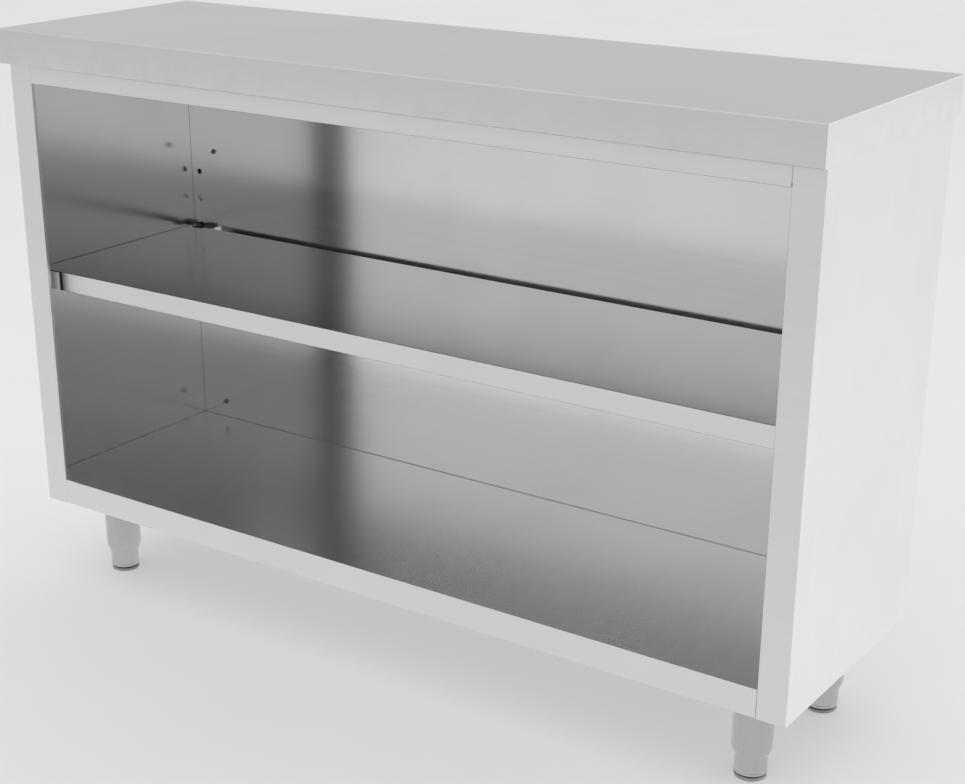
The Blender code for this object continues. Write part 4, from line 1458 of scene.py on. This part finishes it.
    def build(self) -> None:
        """Build and dress the shelf and its ledges."""
        plates = [SHELF_SHADED_STEEL, UNDER_LIT_STEEL, LIP_SHADED_STEEL]
        self.place("shelf_plate", self.shelf(), "inner_steel", plates, ["shelf"], "shelf", faces=1)
        # Ledges: painted shade on the faces that don't face front or rear, painted light on those that do.
        ledges = [PAINTED_SHADE_ZINC, WALL_SHADED_STEEL, LEDGE_LIT_STEEL]
        for side, name in SIDES:
            # The stop is black: painted shade in the slit beside the shelf.
            self.place(f"ledge_shade_stop_{name}", self.stop(side, name), "pad_plastic", [PAINTED_SHADE_RUBBER])
            ledge, nodes = self.ledge(side, name), [f"shelf_support_{name}"]
            self.place(f"ledge_{name}", ledge, "inner_steel", ledges, nodes, faces=1)


@dataclass
class Leg(Assembly):
    """One leg: plate, sleeve with its weld, insert, foot and pad."""

    corner: str = "front_left"
    plate_thickness: float = 3.0 * MM
    plate_corner: float = 8.0 * MM
    plate_soft: float = 0.4 * MM
    plate_fillet: float = 1.5 * MM
    ring_radius: float = 25.7 * MM
    ring_wall: float = 3.0 * MM
    sleeve_radius: float = 27.5 * MM
    sleeve_wall: float = 1.5 * MM
    sleeve_rim: float = 0.3 * MM
    throat_radius: float = 22.9 * MM
    throat_wall: float = 0.8 * MM
    shoulder_height: float = 13.0 * MM
    throat_height: float = 1.5 * MM
    bead: float = 2.2 * MM
    bead_ripples: int = 36
    bead_swell: float = 0.10
    bead_flatness: float = 0.6
    bead_outside: float = 0.2 * MM
    bead_below: float = 0.8 * MM
    foot_edge: float = 4.0 * MM
    foot_wall: float = 2.0 * MM
    foot_floor: float = 8.0 * MM
    foot_soft: float = 0.4 * MM
    cup_top: float = 78.0 * MM
    recess_radius: float = 8.3 * MM
    recess_depth: float = 5.8 * MM
    stem_radius: float = 8.0 * MM
    stem_pitch: float = 2.0 * MM
    stem_thread: float = 0.7 * MM
    stem_tip: float = 1.0 * MM
    bore_gap: float = 0.3 * MM
    bore_thread: float = 0.5 * MM
    bore_mouth: float = 1.0 * MM
    insert_soft: float = 0.5 * MM
    groove_above_edge: float = 1.6 * MM
    groove_depth: float = 0.5 * MM
    groove_mouth: float = 0.5 * MM
    groove_root: float = 0.15 * MM
    pad_disc: float = 4.0 * MM
    pad_neck: float = 5.5 * MM
    pad_soft: float = 1.2 * MM
    pad_rim: float = 3.0 * MM
    pad_hollow: float = 0.3 * MM
    seat_chamfer: float = 0.6 * MM
    neck_radius: float = 18.5 * MM
    seat_radius: float = 8.0 * MM

    def standing(self, grid: Array) -> Shell:
        """Move a grid that is worked out round Z to the leg's axis and close it."""
        return solid_of(grid + middle_of(f"leg_sleeve_{self.corner}") * (1.0, 1.0, 0.0))

    def ring(self, half: float, corner: float, height: float) -> Array:
        """A square with rounded corners as radius over angle, or a circle where corner equals half.

        Args:
            half: Half of the square's width.
            corner: Radius of its corners.
            height: The ring's height.

        Returns:
            The ring's points.
        """
        angle = np.linspace(0.0, 2 * pi, ROUND_STEPS + 1)
        folded = np.abs((angle + pi / 4) % (pi / 2) - pi / 4)
        centre = half - corner
        along = centre * (np.cos(folded) + np.sin(folded))
        across = centre * (np.cos(folded) - np.sin(folded))
        bent = along + np.sqrt(np.maximum(corner**2 - across**2, 0.0))
        reach = np.where(half * np.tan(folded) > centre, bent, half / np.cos(folded))
        return round_grid(reach, angle, height)

    def plate(self) -> Shell:
        """The square plate and the ring below it, as rings from the top's middle to the underside's.

        Returns:
            The closed shell.
        """
        low, high = span(f"leg_plate_{self.corner}")
        half = (high[0] - low[0]) / 2
        top, under, foot = high[2], high[2] - self.plate_thickness, low[2]
        soft, fillet = self.plate_soft, self.plate_fillet
        outer, inner = self.ring_radius, self.ring_radius - self.ring_wall
        square = ((half - soft, top), (half, top - soft), (half, under + soft), (half - soft, under))
        circles = (
            (outer + fillet, under),
            (outer + fillet * 0.3, under - fillet * 0.3),
            (outer, under - fillet),
            (outer, foot + soft),
            (outer - soft, foot),
            (inner + soft, foot),
            (inner, foot + soft),
            (inner, under),
            (0.0, under),
        )
        rings = [self.ring(0.0, 0.0, top)]
        rings += [self.ring(reach, self.plate_corner, height) for reach, height in square]
        rings += [self.ring(reach, reach, height) for reach, height in circles]
        return self.standing(np.stack(rings))

    def swage(self, start: float, end: float, top: float, bottom: float) -> Array:
        """The shoulder: radius = end + (start - end) * cos(90 degrees * share of the way down)."""
        share = np.linspace(0.0, 1.0, 17)
        return np.stack([end + (start - end) * np.cos(pi / 2 * share), top + (bottom - top) * share], axis=1)

    def sleeve(self) -> Shell:
        """The tube, swaged down at its lower end.

        Returns:
            The closed shell.
        """
        low, high = span(f"leg_sleeve_{self.corner}")
        throat = low[2] + self.throat_height
        shoulder = throat + self.shoulder_height
        outer, inner, rim = self.sleeve_radius, self.sleeve_radius - self.sleeve_wall, self.sleeve_rim
        bore, neck = self.throat_radius, self.throat_radius + self.throat_wall
        line = [
            [(inner + rim, high[2]), (outer - rim, high[2]), (outer, high[2] - rim)],
            self.swage(outer, neck, shoulder, throat),
            [(neck, low[2] + rim), (neck - rim, low[2]), (bore + rim, low[2]), (bore, low[2] + rim)],
            self.swage(inner, bore, shoulder, throat)[::-1],
            [(inner, high[2] - rim), (inner + rim, high[2])],
        ]
        return self.standing(turned_grid(np.concatenate(line)))

    def weld(self) -> Shell:
        """The weld round the sleeve's top: a small tube whose thickness ripples along the way.

        The tube's radius is bead * (1 + swell * frac(ripples * a / 360)), on a circle just outside the
        sleeve, and its upper side is flattened against the plate.

        Returns:
            The closed shell.
        """
        high = span(f"leg_sleeve_{self.corner}")[1]
        around = np.linspace(0.0, 2 * pi, 8 * self.bead_ripples + 1)
        section = np.linspace(0.0, 2 * pi, 13)[:, None]
        wave = (around * self.bead_ripples / (2 * pi)) % 1.0 * (around < 2 * pi)
        ripple = self.bead * (1 + self.bead_swell * wave)
        reach = self.sleeve_radius + self.bead_outside + ripple * np.cos(section)
        height = high[2] - self.bead_below + self.bead_flatness * ripple * np.sin(section)
        return self.standing(round_grid(reach, around, np.minimum(height, high[2])))

    def insert(self) -> Shell:
        """The threaded insert; its bore's radius = r + depth * |2 * frac(z / pitch - a / 360) - 1|.

        Returns:
            The closed shell.
        """
        low, high = span(f"leg_insert_{self.corner}")
        outer, bore, soft = (high[0] - low[0]) / 2, self.stem_radius + self.bore_gap, self.insert_soft
        mouth = bore + self.bore_mouth
        heights = np.linspace(low[2] + soft, high[2] - soft, 61)[:, None]
        angle = np.linspace(0.0, 2 * pi, ROUND_STEPS + 1)
        reach = bore + self.bore_thread * thread(heights, angle, self.stem_pitch)
        outside = [(outer - soft, high[2]), (outer, high[2] - soft), (outer, low[2] + soft)]
        outside += [(outer - soft, low[2]), (mouth, low[2])]
        back = turned_grid([(mouth, high[2]), (outer - soft, high[2])])
        grids = (turned_grid(outside), round_grid(reach, angle, heights), back)
        return self.standing(np.concatenate(grids))

    def foot(self) -> Shell:
        """The foot: a cup with a rounded lower edge, a fine groove above it and a threaded stem.

        Returns:
            The closed shell.
        """
        low, high = span(f"foot_{self.corner}")
        base, rim = low[2], high[2]
        radius, soft = (high[0] - low[0]) / 2, self.foot_soft
        inner, cup_top = radius - self.foot_wall, self.cup_top
        floor = base + self.foot_floor + self.recess_depth
        groove, root = base + self.foot_edge + self.groove_above_edge, radius - self.groove_depth
        heights = np.linspace(rim - self.stem_tip, floor, 261)[:, None]
        angle = np.linspace(0.0, 2 * pi, ROUND_STEPS + 1)
        stem = self.stem_radius - self.stem_thread * thread(heights, angle, self.stem_pitch)
        cup = [(inner, floor), (inner, cup_top - soft), (inner + soft, cup_top), (radius - soft, cup_top)]
        cup += [(radius, cup_top - soft), (radius, groove + self.groove_mouth)]
        cup += [(root, groove + self.groove_root), (root, groove - self.groove_root)]
        cup.append((radius, groove - self.groove_mouth))
        edge = arc((radius - self.foot_edge, base + self.foot_edge), self.foot_edge, 0.0, -pi / 2, 12)
        recess = base + self.recess_depth
        under = [(self.recess_radius, base), (self.recess_radius, recess), (0.0, recess)]
        grids = (
            turned_grid([(0.0, rim), (self.stem_radius - self.stem_tip, rim)]),
            round_grid(stem, angle, heights),
            turned_grid(np.concatenate([cup, edge, under])),
        )
        return self.standing(np.concatenate(grids))

    def pad(self) -> Mesh:
        """The base pad: a soft-edged disc with a neck painted dark as shade in the groove under the foot, and
        a plug.

        Returns:
            The mesh, with its neck, painted shade, in slot 1.
        """
        low, high = span(f"foot_pad_{self.corner}")
        radius = (high[0] - low[0]) / 2
        disc, neck, soft, seat = self.pad_disc, self.pad_neck, self.pad_soft, self.seat_radius
        chamfer, hollow, foot = self.seat_chamfer, self.pad_hollow, radius - self.pad_rim
        line = [
            [(0.0, high[2]), (seat - chamfer, high[2]), (seat, high[2] - chamfer), (seat, neck)],
            [(self.neck_radius, neck), (self.neck_radius, disc)],
            arc((radius - soft, disc - soft), soft, pi / 2, 0.0, 6),
            arc((radius - soft, soft), soft, 0.0, -pi / 2, 6),
            [(foot, 0.0), (foot - hollow, hollow), (0.0, hollow)],
        ]
        mesh = self.standing(turned_grid(np.concatenate(line))).mesh(f"base_pad_{self.corner}")
        # The neck gets the black finish: painted shade in the groove between foot and pad.
        return dress(mesh, "center", 2, disc, neck, 1)

    def build(self) -> None:
        """Build and dress one leg; the foot and its pad ride on the foot's own body."""
        foot = f"foot_{self.corner}"
        for label, shape, slot, finishes, node, body in (
            ("mounting_plate", self.plate(), "galvanised_steel", [ZINC], "leg_plate", "cabinet"),
            ("leg_tube", self.sleeve(), "leg_steel", [LEG_STEEL], "leg_sleeve", "cabinet"),
            ("threaded_insert", self.insert(), "fixing_steel", [BOLT_ZINC], "leg_insert", "cabinet"),
            ("levelling_foot", self.foot(), "leg_steel", [LEG_STEEL], "foot", foot),
            ("base_pad", self.pad(), "pad_plastic", [PAD, PAINTED_SHADE_RUBBER], "foot_pad", foot),
        ):
            self.place(f"{label}_{self.corner}", shape, slot, finishes, [f"{node}_{self.corner}"], body)
        self.place(f"leg_weld_{self.corner}", self.weld(), "leg_steel", [LEG_STEEL])


@dataclass
class Studio:
    """Floor, light and camera."""

    focal_pixels: float = 1791.5
    image_width: float = 965.0
    image_height: float = 784.0
    centre_x_pixels: float = 454.3
    centre_y_pixels: float = 476.6
    azimuth: float = 35.3
    elevation: float = 21.7
    roll: float = -0.1
    sensor: float = 36.0
    eye: Triple = (1.4254, -1.9836, 1.2254)
    floor_half: float = 90.0
    # A painted pool of light on the floor, from near the cabinet to far; for reflections only, painted shade
    # in a spot ahead of the cabinet and painted light to its right.
    pool_light_near: float = 0.97
    pool_light_far: float = 0.80
    seen_share: float = 0.35
    mirrored_share: float = 0.92
    reflected_shade_spot: Triple = (0.2, -1.8, 0.0)
    reflected_shade_reach: float = 1.6
    reflected_shade_depth: float = 0.10
    reflected_light_lift: float = 0.11
    bearings: Outline = (
        (-180.0, 0.74), (-137.0, 0.74), (-100.0, 0.78), (-60.0, 0.88), (-38.0, 0.93),
        (-20.0, 0.93), (0.0, 0.80), (25.0, 0.58), (43.0, 0.52), (65.0, 0.58),
        (90.0, 0.90), (110.0, 1.10), (150.0, 1.10), (180.0, 0.74),
    )

    def camera(self) -> None:
        """Set the camera at the photograph's place, direction and framing."""
        data = bpy.data.cameras.new("view_camera")
        data.sensor_width = self.sensor
        data.lens = self.focal_pixels / self.image_width * self.sensor
        data.shift_x = (self.image_width / 2 - self.centre_x_pixels) / self.image_width
        data.shift_y = (self.centre_y_pixels - self.image_height / 2) / self.image_width
        data.clip_start = 0.05
        data.clip_end = 300.0
        camera = bpy.data.objects.new("view_camera", data)
        turn = Matrix.Rotation(radians(self.azimuth), 4, "Z")
        tilt = Matrix.Rotation(radians(90 - self.elevation), 4, "X")
        lean = Matrix.Rotation(radians(self.roll), 4, "Z")
        camera.matrix_world = Matrix.Translation(self.eye) @ turn @ tilt @ lean
        bpy.context.scene.collection.objects.link(camera)
        bpy.context.scene.camera = camera

    def floor(self) -> None:
        """Lay a wide pale floor; its glow, seen by the camera and the reflections, is a painted pool of light
        round the cabinet, with painted shade ahead of it and painted light to its right in the reflections
        only.
        """
        half = self.floor_half
        mesh = bpy.data.meshes.new("studio_floor")
        corners = [(-half, -half, 0), (half, -half, 0), (half, half, 0), (-half, half, 0)]
        mesh.from_pydata(corners, [], [(0, 1, 2, 3)])
        floor = bpy.data.objects.new("studio_floor", mesh)
        bpy.context.scene.collection.objects.link(floor)
        material = bpy.data.materials.new("studio_floor")
        material.use_nodes = True
        material.node_tree.nodes.clear()
        graph = Graph(material.node_tree)
        place = graph.node("ShaderNodeTexCoord").outputs["Object"]
        cloud = graph.mapped(graph.noise(place, 3.0, 3.0), 0.3, 0.7, 0.80, 0.82)
        paint = graph.node("ShaderNodeCombineColor", {0: cloud, 1: cloud, 2: cloud}).outputs[0]
        matt = {"Base Color": paint, "Roughness": 0.9, "Specular IOR Level": 0.2}
        shader = graph.node("ShaderNodeBsdfPrincipled", matt).outputs[0]
        reach = graph.node("ShaderNodeVectorMath", {0: place}, operation="LENGTH").outputs["Value"]
        # Painted pool of light: brighter near the cabinet, fading with distance.
        glow = graph.mapped(reach, 0.5, 5.0, self.pool_light_near, self.pool_light_far)
        path = graph.node("ShaderNodeLightPath").outputs
        # For all but camera rays: painted shade in a spot ahead of the cabinet and painted light to its
        # right, seen in the steel's reflections.
        apart = {0: place, 1: self.reflected_shade_spot}
        away = graph.node("ShaderNodeVectorMath", apart, operation="DISTANCE").outputs["Value"]
        dim = graph.mapped(away, 0.2, self.reflected_shade_reach, -self.reflected_shade_depth, 0.0)
        across = graph.node("ShaderNodeSeparateXYZ", {"Vector": place}).outputs["X"]
        change = graph.math("ADD", graph.mapped(across, 0.9, 2.0, 0.0, self.reflected_light_lift), dim)
        unseen = graph.math("SUBTRACT", 1.0, path["Is Camera Ray"])
        glow = graph.math("MULTIPLY_ADD", graph.math("MULTIPLY", change, unseen), glow, glow)
        light = graph.node("ShaderNodeEmission", {"Color": (1.0, 1.0, 1.0, 1.0), "Strength": glow}).outputs[0]
        mirrored = graph.math("MAXIMUM", path["Is Glossy Ray"], path["Is Transmission Ray"])
        mirrored = graph.math("MULTIPLY", mirrored, self.mirrored_share)
        seen = graph.total(mirrored, (path["Is Camera Ray"], self.seen_share))
        both = graph.node("ShaderNodeMixShader", {0: seen, 1: shader, 2: light}).outputs[0]
        graph.node("ShaderNodeOutputMaterial", {"Surface": both})
        mesh.materials.append(material)

    def world(self) -> None:
        """Light from all round that changes with the bearing and is even overhead."""
        world = bpy.data.worlds.new("studio_world")
        bpy.context.scene.world = world
        world.use_nodes = True
        world.node_tree.nodes.clear()
        graph = Graph(world.node_tree)
        ray = graph.node("ShaderNodeTexCoord").outputs["Generated"]
        axes = graph.node("ShaderNodeSeparateXYZ", {"Vector": ray}).outputs
        bearing = graph.math("ARCTAN2", axes["X"], graph.math("MULTIPLY", axes["Y"], -1.0))
        ramp = graph.node("ShaderNodeValToRGB", {"Fac": graph.total(0.5, (bearing, 0.5 / pi))})
        elements = ramp.color_ramp.elements
        while len(elements) > 1:
            elements.remove(elements[0])
        for index, (angle, level) in enumerate(self.bearings):
            place = angle / 360.0 + 0.5
            element = elements[0] if index == 0 else elements.new(place)
            element.position = place
            element.color = (level, level, level, 1.0)
        lift = graph.mapped(axes["Z"], 0.35, 0.95, 0.0, 1.0)
        level = graph.mixed(lift, ramp.outputs["Color"], (1.0, 1.0, 1.0, 1.0))
        back = graph.node("ShaderNodeBackground", {"Color": level, "Strength": 1.0})
        graph.node("ShaderNodeOutputWorld", {"Surface": back.outputs[0]})

    def build(self) -> None:
        """Set up floor, world, camera and the plain view transform."""
        self.floor()
        self.world()
        self.camera()
        bpy.context.scene.view_settings.view_transform = "Standard"


def main() -> None:
    """Build the cabinet's sub-assemblies in order and report each piece."""
    logging.basicConfig(level=logging.INFO, format="%(name)s: %(message)s")
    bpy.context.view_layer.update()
    book = FinishBook()
    Studio().build()
    for kind in (Worktop, Hats, Body, ShelfUnit, Fixings):
        kind(book).build()
    for row in ROWS:
        for _, side in SIDES:
            Leg(book, corner=f"{row}_{side}").build()


if __name__ == "__main__":
    main()
